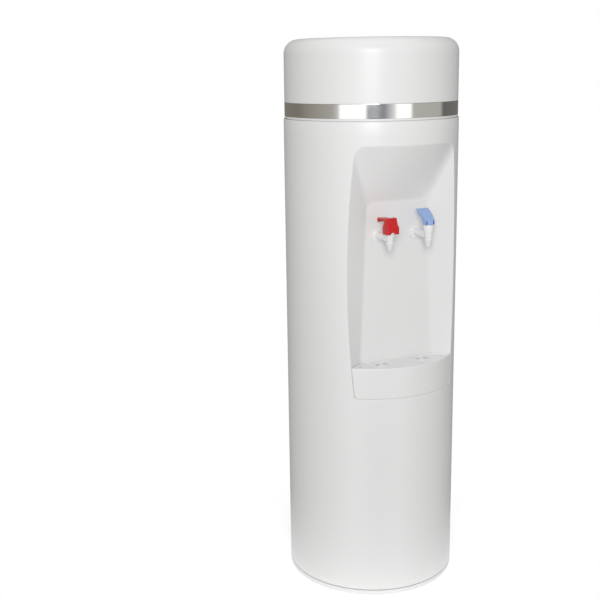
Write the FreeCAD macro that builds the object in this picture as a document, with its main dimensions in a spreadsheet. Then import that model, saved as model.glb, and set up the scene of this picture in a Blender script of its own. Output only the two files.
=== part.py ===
import FreeCAD, Part

# Floor-standing water dispenser with a round tower body, a tap recess, a lift-off lid and a pull-out drip tray.
# Millimetres, +Z up.  The origin is on the floor at the tower's axis and the front faces -Y.

import math
import os
import re

import Sketcher
from FreeCAD import Placement, Rotation, Vector

doc = FreeCAD.newDocument("water_dispenser")

# ---------------------------------------------------------------- driving dimensions

DIMENSIONS = [
    # tower
    ("body_radius", 159.0, "outside of the body shell"),
    ("shell_wall", 3.0, "moulded shell wall"),
    ("base_rise", 2.0, "underside of the base ring above the floor"),
    ("base_top", 13.0, "top of the visible base ring"),
    ("base_edge", 5.0, "rounding of the base ring's lower edge"),
    ("base_width", 24.0, "radial width of the base ring"),
    ("joint_gap", 1.2, "shadow gap between stacked mouldings"),
    ("spigot_rise", 9.0, "height of the locating spigots"),
    ("sheet_metal", 2.0, "thickness of the steel plates"),
    ("body_top", 876.0, "top edge of the body shell"),
    ("deck_top", 880.5, "top of the deck's flange"),
    ("band_top", 905.1, "top of the stainless band"),
    ("band_radius", 157.2, "outside of the band and of the lid"),
    ("band_wall", 1.5, "stainless band"),
    ("lid_base", 905.4, "lower edge of the lid"),
    ("lid_top", 1016.0, "top of the lid"),
    ("lid_shoulder", 25.0, "outside rounding of the lid's shoulder"),
    ("fit_gap", 0.3, "clearance between pieces that come apart"),
    # tap recess
    ("recess_base", 388.0, "floor of the recess"),
    ("recess_ceiling", 835.0, "upper edge of the recess on the shell"),
    ("recess_widest", 605.0, "height at which the recess is widest"),
    ("recess_half_arc", 120.4, "half width along the shell at the widest height"),
    ("recess_bow_radius", 1800.0, "radius of the bowed side edges, measured on the unrolled shell"),
    ("recess_corner", 23.0, "radius of the upper corners on the shell"),
    ("recess_foot_corner", 4.5, "radius of the lower corners on the shell"),
    ("wall_depth", 98.0, "flat back wall, forward of the axis"),
    ("wall_top", 735.0, "upper edge of the flat back wall"),
    ("wall_half_top", 61.0, "half width of the back wall at its upper edge"),
    ("wall_half_base", 76.6, "half width of the back wall at its foot"),
    ("wall_corner", 11.0, "radius of the back wall's corners"),
    ("liner_wall", 3.0, "thickness of the recess liner"),
    # drip tray
    ("tray_base", 388.3, "underside of the drip tray"),
    ("tray_top", 444.5, "rim of the drip tray"),
    ("tray_wall", 3.0, "front wall of the drip tray"),
    ("grille_top", 443.3, "top of the grille plate"),
    ("grille_sheet", 2.4, "thickness of the grille plate"),
    ("cup_ring_offset", 42.0, "cup ring from the centre line"),
    ("cup_ring_depth", 118.0, "cup ring forward of the axis"),
    ("cup_ring_radius", 15.0, "outside of a cup ring"),
    ("drain_hole_radius", 2.8, "drain holes in the grille"),
    ("drain_hole_offset", 8.0, "drain hole from the centre of its cup ring"),
    # taps, measured from the valve axis and from the height of the horizontal arm
    ("tap_offset", 38.75, "valve axis from the centre line"),
    ("tap_reach", 142.0, "valve axis forward of the tower's axis"),
    ("tap_height", 675.5, "height of the tap's horizontal arm"),
    ("bonnet_radius", 9.3, "top of the tapered bonnet"),
    ("barrel_radius", 8.6, "valve barrel where the bonnet sits on it"),
    ("barrel_rise", 8.0, "top of the barrel"),
    ("waist_radius", 6.7, "narrow lower end of the barrel"),
    ("waist_drop", 4.5, "height of that narrow end"),
    ("spout_drop", 20.5, "spout tip"),
    ("spout_radius", 3.9, "outside of the spout tip"),
    ("spout_bore", 2.6, "water way through the spout"),
    ("seat_drop", 2.0, "valve seat"),
    ("chamber_radius", 5.4, "valve chamber"),
    ("arm_radius", 6.5, "horizontal arm and threaded shank"),
    ("arm_start", 6.0, "where the arm leaves the barrel"),
    ("shank_end", 70.0, "rear end of the shank"),
    ("arm_bore", 3.0, "water way through the arm"),
    ("flange_radius", 12.5, "round flange against the wall"),
    ("flange_depth", 4.5, "thickness of that flange"),
    ("nut_flats", 22.0, "shank nut across its flats"),
    ("nut_depth", 8.0, "thickness of the shank nut"),
    ("bonnet_top", 18.5, "top of the bonnet"),
    ("bonnet_roof", 3.5, "thickness of the bonnet's roof"),
    ("stem_radius", 2.5, "valve stem"),
    ("stem_gap", 0.05, "running clearance of stem and pins"),
    ("pin_rise", 22.5, "lever pin"),
    ("pin_radius", 1.2, "lever pin"),
    ("spring_radius", 4.0, "mean radius of the closing spring"),
    ("spring_wire", 0.5, "wire radius of that spring"),
    ("lever_half_depth", 6.0, "half depth of the lever's foot, which acts as the lifting cam"),
    ("paddle_width", 24.0, "width of the paddle's upper edge"),
    ("lever_width", 18.0, "width of the lever's foot"),
    ("paddle_step", 9.5, "where the paddle steps out, above the pin"),
    ("paddle_sheet", 2.6, "thickness of the paddle"),
    ("hood_half", 9.9, "inside half width between the hot lever's cheeks"),
    ("cheek_wall", 1.6, "thickness of those cheeks"),
    ("latch_reach", 35.5, "rear end of the safety latch behind the valve axis"),
    ("latch_width", 15.0, "width of the safety latch"),
    # cold and hot water
    ("tank_back", 30.0, "tank axis behind the tower's axis"),
    ("tank_radius", 95.0, "cold reservoir"),
    ("tank_base", 705.0, "underside of the cold reservoir"),
    ("tank_wall", 1.2, "stainless wall"),
    ("coil_tube", 3.0, "outer radius of the evaporator tube"),
    ("jacket_radius", 118.0, "outside of the insulation"),
    ("jacket_inner", 103.0, "inside of the insulation"),
    ("jacket_base", 688.0, "underside of the insulation"),
    ("jacket_top", 874.0, "top of the insulation"),
    ("hot_radius", 48.0, "hot tank"),
    ("hot_base", 470.0, "underside of the hot tank"),
    ("hot_rise", 150.0, "height of the hot tank"),
    ("shelf_base", 455.0, "underside of the hot tank's shelf"),
    ("hose_radius", 4.8, "outside of the silicone hoses"),
    # cooling unit
    ("compressor_radius", 60.0, "compressor shell"),
    ("compressor_rise", 140.0, "height of the compressor shell"),
    ("mount_rise", 8.0, "height of the compressor's rubber mounts"),
    ("condenser_back", 128.0, "plane of the condenser behind the axis"),
    ("condenser_half", 60.0, "half width of the condenser's runs"),
    ("condenser_tube", 2.4, "outer radius of the condenser tube"),
    ("condenser_base", 200.0, "lowest condenser run"),
    ("condenser_pitch", 28.0, "spacing of the condenser runs"),
    # rear
    ("rear_half", 80.0, "half width of the rear service opening"),
    ("rear_base", 36.0, "lower edge of the rear service opening"),
    ("rear_split", 176.0, "where the louvred panel meets the service plate"),
    ("rear_top", 850.0, "upper edge of the rear service opening"),
    ("service_back", 131.0, "outer face of the service plate behind the axis"),
    ("screw_radius", 4.0, "screw heads"),
    ("inlet_bore", 3.2, "push-in socket for 6.35 mm tube"),
]

sheet = doc.addObject("Spreadsheet::Sheet", "dims")
for row, (alias, value, meaning) in enumerate(DIMENSIONS, start=1):
    sheet.set(f"A{row}", alias)
    sheet.set(f"B{row}", str(value))
    sheet.set(f"C{row}", meaning)
    sheet.setAlias(f"B{row}", alias)
doc.recompute()


class Size:
    """A length that keeps its number together with the sheet formula that gives it."""

    def __init__(self, number, formula):
        self.number = number
        self.formula = formula

    def __add__(self, other):
        other = as_size(other)
        return Size(self.number + other.number, f"({self.formula} + {other.formula})")

    def __sub__(self, other):
        other = as_size(other)
        return Size(self.number - other.number, f"({self.formula} - {other.formula})")

    def __mul__(self, factor):
        return Size(self.number * factor, f"({self.formula} * {factor})")

    def __neg__(self):
        return Size(-self.number, f"(-1 * {self.formula})")

    __radd__ = __add__
    __rmul__ = __mul__


def as_size(amount):
    """Give a plain number the form of a Size."""
    return amount if isinstance(amount, Size) else Size(float(amount), str(amount))


class Dims:
    """The sheet's cells as attributes."""


d = Dims()
for alias, value, meaning in DIMENSIONS:
    setattr(d, alias, Size(value, f"dims.{alias}"))

nodes = []


# ---------------------------------------------------------------- modelling helpers

def node(obj, label):
    """Make an object one of the sub-parts that are written out."""
    obj.Label = label
    nodes.append(obj)
    return obj


def bind(obj, prop, amount):
    """Tie a property to the sheet."""
    obj.setExpression(prop, as_size(amount).formula)


def place(obj, x=0, y=0, z=0):
    """Bind an object's position."""
    for axis, amount in zip("xyz", (x, y, z)):
        bind(obj, f"Placement.Base.{axis}", amount)
    return obj


def new_body(label):
    """Start a PartDesign body that is a sub-part."""
    return node(doc.addObject("PartDesign::Body", label), label)


def sketch_on(body, role, lift=0):
    """Start a sketch on one of the body's own origin planes, moved along the plane's normal."""
    sketch = body.newObject("Sketcher::SketchObject", "sketch")
    plane = next(feature for feature in body.Origin.OriginFeatures if feature.Role == role)
    sketch.AttachmentSupport = [(plane, "")]
    sketch.MapMode = "FlatFace"
    bind(sketch, "AttachmentOffset.Base.z", lift)
    return sketch


def fix_point(sketch, geometry, point, x, y):
    """Dimension a point of the sketch from its origin."""
    for kind, amount in (("DistanceX", as_size(x)), ("DistanceY", as_size(y))):
        index = sketch.addConstraint(Sketcher.Constraint(kind, -1, 1, geometry, point, amount.number))
        sketch.setExpression(f"Constraints[{index}]", amount.formula)


def polygon(sketch, corners):
    """Draw a closed, fully dimensioned polygon."""
    first = sketch.GeometryCount
    count = len(corners)
    spots = [Vector(as_size(x).number, as_size(y).number, 0) for x, y in corners]
    for index in range(count):
        sketch.addGeometry(Part.LineSegment(spots[index], spots[(index + 1) % count]))
    for index, (x, y) in enumerate(corners):
        following = first + (index + 1) % count
        sketch.addConstraint(Sketcher.Constraint("Coincident", first + index, 2, following, 1))
        fix_point(sketch, first + index, 1, x, y)


def rectangle(sketch, low_x, low_y, high_x, high_y):
    """Draw a dimensioned rectangle."""
    polygon(sketch, [(low_x, low_y), (high_x, low_y), (high_x, high_y), (low_x, high_y)])


def circle(sketch, x, y, radius):
    """Draw a dimensioned circle."""
    radius = as_size(radius)
    centre = Vector(as_size(x).number, as_size(y).number, 0)
    geometry = sketch.addGeometry(Part.Circle(centre, Vector(0, 0, 1), radius.number))
    fix_point(sketch, geometry, 3, x, y)
    index = sketch.addConstraint(Sketcher.Constraint("Radius", geometry, radius.number))
    sketch.setExpression(f"Constraints[{index}]", radius.formula)


def turned(body, corners):
    """Revolve a (radius, height) polygon about the body's Z axis."""
    sketch = sketch_on(body, "XZ_Plane")
    polygon(sketch, corners)
    feature = body.newObject("PartDesign::Revolution", "turned")
    feature.Profile = sketch
    feature.ReferenceAxis = (sketch, ["V_Axis"])
    feature.Angle = 360
    doc.recompute()
    return feature


def pad(body, sketch, length, backwards=False, both_ways=False):
    """Extrude a sketch, from one side or evenly to both."""
    feature = body.newObject("PartDesign::Pad", "pad")
    feature.Profile = sketch
    feature.Midplane = both_ways
    feature.Reversed = backwards
    bind(feature, "Length", length)
    doc.recompute()
    return feature


def pocket(body, sketch, length, backwards=False, both_ways=False):
    """Cut a sketch's outline out of the body, and make sure that it removed something."""
    before = body.Shape.Volume
    feature = body.newObject("PartDesign::Pocket", "pocket")
    feature.Profile = sketch
    feature.Midplane = both_ways
    feature.Reversed = backwards
    bind(feature, "Length", length)
    doc.recompute()
    if not body.Shape.Volume < before - 1e-3:
        raise RuntimeError(f"a pocket of {body.Label} cuts nothing")
    return feature


def rounded(body, radius, chosen):
    """Fillet the edges of the body's tip that the chosen test accepts."""
    base = body.Tip
    names = [f"Edge{index}" for index, edge in enumerate(base.Shape.Edges, start=1) if chosen(edge)]
    feature = body.newObject("PartDesign::Fillet", "rounding")
    feature.Base = (base, names)
    bind(feature, "Radius", radius)
    doc.recompute()
    return feature


def is_ring(edge, radius, height):
    """Tell whether an edge is the circle of that radius and height about the body's Z axis."""
    curve = edge.Curve
    if not isinstance(curve, Part.Circle):
        return False
    return abs(curve.Radius - radius) < 0.01 and abs(curve.Center.z - height) < 0.01


def box(x, y, z, length, width, height, name="block"):
    """A Part box with its low corner at x, y, z."""
    block = doc.addObject("Part::Box", name)
    for prop, amount in (("Length", length), ("Width", width), ("Height", height)):
        bind(block, prop, amount)
    return place(block, x, y, z)


def cylinder(x, y, z, radius, height, direction=None, name="rod"):
    """A Part cylinder that starts at x, y, z and runs along +Z or the given direction."""
    rod = doc.addObject("Part::Cylinder", name)
    bind(rod, "Radius", radius)
    bind(rod, "Height", height)
    if direction is not None:
        rod.Placement = Placement(Vector(), Rotation(Vector(0, 0, 1), direction))
    return place(rod, x, y, z)


def cut(base, *tools):
    """Subtract the tools from the base, one after the other."""
    for tool in tools:
        result = doc.addObject("Part::Cut", "cut")
        result.Base = base
        result.Tool = tool
        base = result
    return base


def fuse(*parts):
    """Join the parts."""
    result = doc.addObject("Part::MultiFuse", "joined")
    result.Shapes = list(parts)
    return result


def common(first, second):
    """Keep what the two share."""
    result = doc.addObject("Part::MultiCommon", "shared")
    result.Shapes = [first, second]
    return result


def feature(shape, name="form"):
    """Hold a shape made with Part's own functions."""
    form = doc.addObject("Part::Feature", name)
    form.Shape = shape
    form.Placement = Placement()
    return form


def hose(points, radius, bend):
    """A round tube along straight runs that are joined by arcs of one radius."""
    spots = [Vector(*point) for point in points]
    edges = []
    start = spots[0]
    for before, corner, after in zip(spots, spots[1:], spots[2:]):
        incoming = (corner - before).normalize()
        outgoing = (after - corner).normalize()
        half_turn = incoming.getAngle(outgoing) / 2
        setback = bend * math.tan(half_turn)
        arc_start = corner - incoming * setback
        arc_end = corner + outgoing * setback
        towards_centre = (outgoing - incoming).normalize()
        arc_middle = corner + towards_centre * (bend / math.cos(half_turn) - bend)
        edges.append(Part.LineSegment(start, arc_start).toShape())
        edges.append(Part.Arc(arc_start, arc_middle, arc_end).toShape())
        start = arc_end
    edges.append(Part.LineSegment(start, spots[-1]).toShape())
    spine = Part.Wire(edges)
    profile = Part.Wire(Part.makeCircle(radius, spots[0], spots[1] - spots[0]))
    return spine.makePipeShell([profile], True, True)


# ---------------------------------------------------------------- the tap recess as a lofted void

SAMPLES = 9        # points that carry each ruled edge of the loft
MOUTH_DEPTH = 162  # plane of the loft's front outline, just ahead of the shell
SMALLEST_CORNER = 4.0


def recess_void(grow_front=0.0, grow_back=0.0, deepen=0.0, floor=None):
    """The recess as a solid, grown or shrunk, from its flat back out past the shell.

    Straight rulings run from the flat outline of the back wall to the outline that the recess has on the
    shell; the latter is drawn on the unrolled shell, with bowed sides and rounded corners.
    """
    radius = d.body_radius.number
    back = d.wall_depth.number - deepen
    floor = d.recess_base.number if floor is None else floor
    bow = d.recess_bow_radius.number
    corner = d.recess_corner.number + grow_front
    foot = max(d.recess_foot_corner.number + grow_front, SMALLEST_CORNER)
    inner_corner = max(d.wall_corner.number + grow_back, SMALLEST_CORNER)
    top = d.recess_ceiling.number + grow_front
    wall_top = d.wall_top.number + grow_back
    lean = (d.wall_half_base.number - d.wall_half_top.number) / (d.wall_top.number - d.recess_base.number)

    def shell_half(height):
        drop = height - d.recess_widest.number
        return d.recess_half_arc.number + grow_front - (bow - math.sqrt(bow * bow - drop * drop))

    def wall_half(height):
        return d.wall_half_top.number + grow_back + lean * (d.wall_top.number - height)

    def quarter(centre_x, centre_z, arc_radius, start_turn, share):
        angle = math.radians(start_turn + 90.0 * share)
        return centre_x + arc_radius * math.cos(angle), centre_z + arc_radius * math.sin(angle)

    low_front = floor + foot
    high_front = top - corner
    low_back = floor + inner_corner
    high_back = wall_top - inner_corner

    def mix(start, end, share):
        return start + (end - start) * share

    def right_side(share):
        height_front = mix(low_front, high_front, share)
        height_back = mix(low_back, high_back, share)
        return (shell_half(height_front), height_front), (wall_half(height_back), height_back)

    def upper_corner(share):
        front = quarter(shell_half(high_front) - corner, high_front, corner, 0.0, share)
        rear = quarter(wall_half(high_back) - inner_corner, high_back, inner_corner, 0.0, share)
        return front, rear

    def lower_corner(share):
        front = quarter(shell_half(low_front) - foot, low_front, foot, -90.0, share)
        rear = quarter(wall_half(low_back) - inner_corner, low_back, inner_corner, -90.0, share)
        return front, rear

    def ceiling(share):
        across = 1.0 - 2.0 * share
        front = ((shell_half(high_front) - corner) * across, top)
        return front, ((wall_half(high_back) - inner_corner) * across, wall_top)

    def sill(share):
        across = 2.0 * share - 1.0
        front = ((shell_half(low_front) - foot) * across, floor)
        return front, ((wall_half(low_back) - inner_corner) * across, floor)

    def mirrored(edge):
        def swapped(share):
            (front_x, front_z), (rear_x, rear_z) = edge(1.0 - share)
            return (-front_x, front_z), (-rear_x, rear_z)
        return swapped

    def ends(pair):
        (front_arc, front_z), (rear_x, rear_z) = pair
        angle = front_arc / radius
        rear = Vector(rear_x, -back, rear_z)
        on_shell = Vector(radius * math.sin(angle), -radius * math.cos(angle), front_z)
        stretch = (MOUTH_DEPTH - back) / (-on_shell.y - back)
        return rear, rear + (on_shell - rear) * stretch

    edges = [sill, lower_corner, right_side, upper_corner, ceiling,
             mirrored(upper_corner), mirrored(right_side), mirrored(lower_corner)]
    outlines = ([], [])
    for edge in edges:
        shares = [index / (SAMPLES - 1) for index in range(SAMPLES)]
        pairs = [ends(edge(share)) for share in shares]
        for outline, points in zip(outlines, zip(*pairs)):
            curve = Part.BSplineCurve()
            curve.interpolate(Points=list(points), Parameters=shares)
            outline.append(curve.toShape())
    wires = [Part.Wire(outline) for outline in outlines]
    return Part.makeLoft(wires, True, True)


# ---------------------------------------------------------------- base

def make_base():
    """Base ring, floor plate and rubber feet."""
    inner = d.body_radius - d.base_width
    spigot_outer = d.body_radius - d.shell_wall - 0.4
    spigot_inner = spigot_outer - d.shell_wall
    ring = new_body("base_ring")
    turned(ring, [(inner, d.base_rise), (d.body_radius, d.base_rise), (d.body_radius, d.base_top),
                  (spigot_outer, d.base_top), (spigot_outer, d.base_top + d.spigot_rise),
                  (spigot_inner, d.base_top + d.spigot_rise), (spigot_inner, d.base_top),
                  (inner, d.base_top)])
    rounded(ring, d.base_edge, lambda edge: is_ring(edge, d.body_radius.number, d.base_rise.number))
    plate = new_body("base_plate")
    sketch = sketch_on(plate, "XY_Plane", d.base_top)
    circle(sketch, 0, 0, spigot_inner - d.fit_gap)
    pad(plate, sketch, d.sheet_metal)
    foot_spread = 79.0
    corners = [(-1, -1, "front_left"), (1, -1, "front_right"), (-1, 1, "rear_left"), (1, 1, "rear_right")]
    for side_x, side_y, name in corners:
        foot = new_body(f"foot_{name}")
        turned(foot, [(0, 0), (14, 0), (16, 4), (16, d.base_top), (0, d.base_top)])
        place(foot, foot_spread * side_x, foot_spread * side_y, 0)


# ---------------------------------------------------------------- body shell, deck, band and lid

def rear_opening(grow):
    """A block through the rear wall, as wide as the service opening plus a margin all round."""
    depth = 80
    return box(-d.rear_half - grow, 100, d.rear_base - grow, (d.rear_half + grow) * 2, depth,
               d.rear_top - d.rear_base + 2 * grow, "rear_opening")


def make_shell():
    """The tower's wall with the recess and the service opening cut out."""
    tower = doc.addObject("PartDesign::Body", "tower")
    inner = d.body_radius - d.shell_wall
    turned(tower, [(inner, d.base_top + d.joint_gap), (d.body_radius, d.base_top + d.joint_gap),
                   (d.body_radius, d.body_top), (inner, d.body_top)])
    node(cut(tower, feature(recess_void(), "recess_mouth"), rear_opening(0)), "body_shell")


def make_liner():
    """The one-piece recess liner behind the shell's mouth, with the two shank holes."""
    wall = d.liner_wall.number
    outside = feature(recess_void(5.0, wall, wall, d.recess_base.number - wall), "liner_outside")
    inside = feature(recess_void(), "liner_inside")
    core = cylinder(0, 0, 0, d.body_radius - d.shell_wall, d.body_top, name="inside_of_shell")
    holes = [cylinder(side * d.tap_offset, -d.wall_depth - 5, d.tap_height, d.arm_radius + d.fit_gap, 20,
                      Vector(0, 1, 0), "shank_hole") for side in (-1, 1)]
    node(cut(common(outside, core), inside, *holes), "recess_liner")


def make_deck():
    """Deck that closes the tower: flange, skirt, collar behind the band and the tank opening."""
    inner = d.body_radius - d.shell_wall - 0.4
    collar = d.band_radius - d.band_wall - d.fit_gap
    deck = new_body("top_deck")
    low = d.body_top + d.joint_gap
    turned(deck, [(110, low), (inner - 3, low), (inner - 3, low - d.spigot_rise), (inner, low - d.spigot_rise),
                  (inner, low), (d.band_radius, low), (d.band_radius, d.deck_top), (collar, d.deck_top),
                  (collar, d.band_top), (collar - 3, d.band_top), (collar - 3, d.deck_top),
                  (110, d.deck_top)])
    floor_sketch = sketch_on(deck, "XY_Plane", low)
    circle(floor_sketch, 0, 0, 112)
    pad(deck, floor_sketch, d.deck_top - low)
    mouth = sketch_on(deck, "XY_Plane", d.deck_top)
    circle(mouth, 0, d.tank_back, d.tank_radius + 1)
    pocket(deck, mouth, 12)
    band = new_body("trim_band")
    turned(band, [(d.band_radius - d.band_wall, d.deck_top), (d.band_radius, d.deck_top),
                  (d.band_radius, d.band_top), (d.band_radius - d.band_wall, d.band_top)])


def make_lid():
    """Domed lift-off lid with a locating rim that drops inside the deck's collar."""
    wall = d.shell_wall
    rim = d.band_radius - d.band_wall - d.fit_gap - 3 - d.fit_gap
    lid = new_body("lid")
    turned(lid, [(0, d.lid_top - wall), (d.band_radius - wall, d.lid_top - wall),
                 (d.band_radius - wall, d.lid_base + 4), (rim - 2.4, d.lid_base + 4),
                 (rim - 2.4, d.lid_base - 8), (rim, d.lid_base - 8), (rim, d.lid_base),
                 (d.band_radius, d.lid_base), (d.band_radius, d.lid_top), (0, d.lid_top)])
    outer = d.band_radius.number
    rounded(lid, d.lid_shoulder, lambda edge: is_ring(edge, outer, d.lid_top.number))
    rounded(lid, d.lid_shoulder - wall,
            lambda edge: is_ring(edge, outer - wall.number, d.lid_top.number - wall.number))


# ---------------------------------------------------------------- drip tray

def within_shell(form, radius, low, high):
    """Keep what lies inside a vertical cylinder between two heights."""
    column = common(form, cylinder(0, 0, 0, radius, d.body_top, name="round_limit"))
    reach = d.body_radius + 1
    return common(column, box(-reach, -reach, low, reach * 2, reach * 2, high - low, "level_limit"))


def make_tray():
    """Pull-out tray that follows the recess walls, and the grille that drops into its rim."""
    base = d.tray_base.number
    outside = within_shell(feature(recess_void(-1.3, -1.0, -0.5, base), "tray_outside"),
                           d.body_radius, d.tray_base - 5, d.tray_top)
    inner = d.body_radius - d.tray_wall
    basin = within_shell(feature(recess_void(-11.0, -6.0, -6.0, base + 3.5), "tray_basin"),
                         inner - 3, d.tray_base - 5, d.tray_top + 1)
    ledge = d.grille_top - d.grille_sheet - d.fit_gap
    seat = within_shell(feature(recess_void(-8.0, -4.0, -3.5, base), "tray_seat"),
                        inner, ledge, d.tray_top + 1)
    node(cut(outside, basin, seat), "drip_tray")

    plate = within_shell(feature(recess_void(-9.2, -4.6, -4.0, base), "grille_outline"),
                         inner - 0.4, ledge + d.fit_gap, d.grille_top)
    rings = []
    holes = []
    for side in (-1, 1):
        centre = d.cup_ring_offset * side
        groove_base = d.grille_top - 0.6
        outer = cylinder(centre, -d.cup_ring_depth, groove_base, d.cup_ring_radius, 3)
        core = cylinder(centre, -d.cup_ring_depth, groove_base - 1, d.cup_ring_radius - 1.6, 5)
        rings.append(cut(outer, core))
        for step in (-1, 1):
            holes.append(cylinder(centre + d.drain_hole_offset * step, -d.cup_ring_depth, ledge - 5,
                                  d.drain_hole_radius, 20))
    slots = [box(side * 84 - 1, -121, ledge - 2, 2, 16, 10, "finger_slot") for side in (-1, 1)]
    node(cut(plate, *rings, *holes, *slots), "drip_grille")


# ---------------------------------------------------------------- taps

def tap_place(obj, side):
    """Move a piece drawn about the valve axis to its tap."""
    return place(obj, d.tap_offset * side, -d.tap_reach, d.tap_height)


def make_tap(name, side):
    """The pieces that both taps have: body, flange, nut, bonnet, stem, spring and pin."""
    valve = new_body(f"{name}_tap_body")
    collar_radius = d.waist_radius + 0.5
    turned(valve, [(d.spout_bore, -d.spout_drop), (d.spout_radius, -d.spout_drop),
                   (collar_radius, -d.waist_drop - 3.5), (collar_radius, -d.waist_drop - 1),
                   (d.waist_radius, -d.waist_drop), (d.barrel_radius, d.barrel_rise),
                   (d.chamber_radius, d.barrel_rise), (d.chamber_radius, -d.seat_drop),
                   (d.spout_bore, -d.seat_drop)])
    arm = sketch_on(valve, "XZ_Plane", -d.arm_start)
    circle(arm, 0, 0, d.arm_radius)
    pad(valve, arm, d.shank_end - d.arm_start, backwards=True)
    bore = sketch_on(valve, "XZ_Plane", -d.shank_end)
    circle(bore, 0, 0, d.arm_bore)
    pocket(valve, bore, d.shank_end - d.arm_start + 5, backwards=True)
    tap_place(valve, side)

    wall_gap = d.tap_reach - d.wall_depth
    flange = new_body(f"{name}_flange")
    ring = sketch_on(flange, "XZ_Plane", -wall_gap)
    circle(ring, 0, 0, d.flange_radius)
    circle(ring, 0, 0, d.arm_radius + 0.05)
    pad(flange, ring, d.flange_depth)
    tap_place(flange, side)

    nut = new_body(f"{name}_shank_nut")
    hexagon = sketch_on(nut, "XZ_Plane", -(wall_gap + d.liner_wall))
    corner = d.nut_flats * (1 / math.sqrt(3))
    half_corner = corner * 0.5
    half = d.nut_flats * 0.5
    polygon(hexagon, [(corner, 0), (half_corner, half), (-half_corner, half),
                      (-corner, 0), (-half_corner, -half), (half_corner, -half)])
    circle(hexagon, 0, 0, d.arm_radius + 0.05)
    pad(nut, hexagon, d.nut_depth, backwards=True)
    tap_place(nut, side)

    bonnet = new_body(f"{name}_bonnet")
    roof = d.bonnet_top - d.bonnet_roof
    stem_hole = d.stem_radius + d.stem_gap
    turned(bonnet, [(stem_hole, roof), (d.chamber_radius, roof), (d.chamber_radius, d.barrel_rise),
                    (d.barrel_radius, d.barrel_rise), (d.bonnet_radius, d.bonnet_top),
                    (stem_hole, d.bonnet_top)])
    tap_place(bonnet, side)

    stem = new_body(f"{name}_stem")
    seal_base = -d.seat_drop + 0.1
    turned(stem, [(0, seal_base), (d.chamber_radius - 0.6, seal_base), (d.chamber_radius - 0.6, seal_base + 3),
                  (d.stem_radius, seal_base + 3), (d.stem_radius, d.pin_rise + 2.5), (0, d.pin_rise + 2.5)])
    eye = sketch_on(stem, "YZ_Plane", 0)
    circle(eye, 0, d.pin_rise, d.pin_radius + d.stem_gap)
    pocket(stem, eye, 12, both_ways=True)
    tap_place(stem, side)

    wire = d.spring_wire.number
    coil_base = seal_base.number + 3 + wire + 0.1
    coil_top = roof.number - wire - 0.1
    turns = 5
    helix = Part.makeHelix((coil_top - coil_base) / turns, coil_top - coil_base, d.spring_radius.number)
    profile = Part.Wire(Part.makeCircle(wire, Vector(d.spring_radius.number, 0, 0), Vector(0, 1, 0)))
    coil = Part.Wire(helix).makePipeShell([profile], True, True)
    spring = node(feature(coil, f"{name}_spring"), f"{name}_spring")
    place(spring, d.tap_offset * side, -d.tap_reach, d.tap_height + coil_base)

    pin = new_body(f"{name}_lever_pin")
    end = sketch_on(pin, "YZ_Plane", 0)
    circle(end, 0, d.pin_rise, d.pin_radius)
    pad(pin, end, d.lever_width - 1, both_ways=True)
    tap_place(pin, side)


def lever_foot(body, roof):
    """Slot for the stem and hole for the pin, cut into a lever's foot."""
    slot = sketch_on(body, "XZ_Plane", 0)
    half = d.stem_radius + d.fit_gap
    rectangle(slot, -half, d.bonnet_top - 1, half, roof)
    pocket(body, slot, 30, both_ways=True)
    eye = sketch_on(body, "YZ_Plane", 0)
    circle(eye, 0, d.pin_rise, d.pin_radius + 0.02)
    pocket(body, eye, d.paddle_width + 10, both_ways=True)


def make_cold_lever():
    """Flared paddle that leans back from its foot."""
    lever = new_body("cold_lever")
    side_view = sketch_on(lever, "YZ_Plane", 0)
    foot = d.lever_half_depth
    low = d.bonnet_top + d.fit_gap
    roof = d.pin_rise + 6
    tip_y = 24
    tip_z = d.pin_rise + 23
    polygon(side_view, [(-foot, low), (foot, low), (foot, roof - 2), (tip_y, tip_z - 1.6),
                        (tip_y - 2.0, tip_z), (1.5, roof + 1.2), (-foot, roof)])
    pad(lever, side_view, d.paddle_width, both_ways=True)
    flare = sketch_on(lever, "XZ_Plane", 0)
    half_top = d.paddle_width * 0.5
    half_foot = d.lever_width * 0.5
    step = d.pin_rise + d.paddle_step
    for side in (-1, 1):
        polygon(flare, [(half_foot * side, low - 1), (half_foot * side, step - 1.5),
                        ((half_top - 1) * side, step + 2), ((half_top + 0.1) * side, tip_z + 1),
                        ((half_top + 4) * side, tip_z + 1), ((half_top + 4) * side, low - 1)])
    pocket(lever, flare, 80, both_ways=True)
    lever_foot(lever, d.pin_rise + 4.2)
    tap_place(lever, 1)


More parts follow.
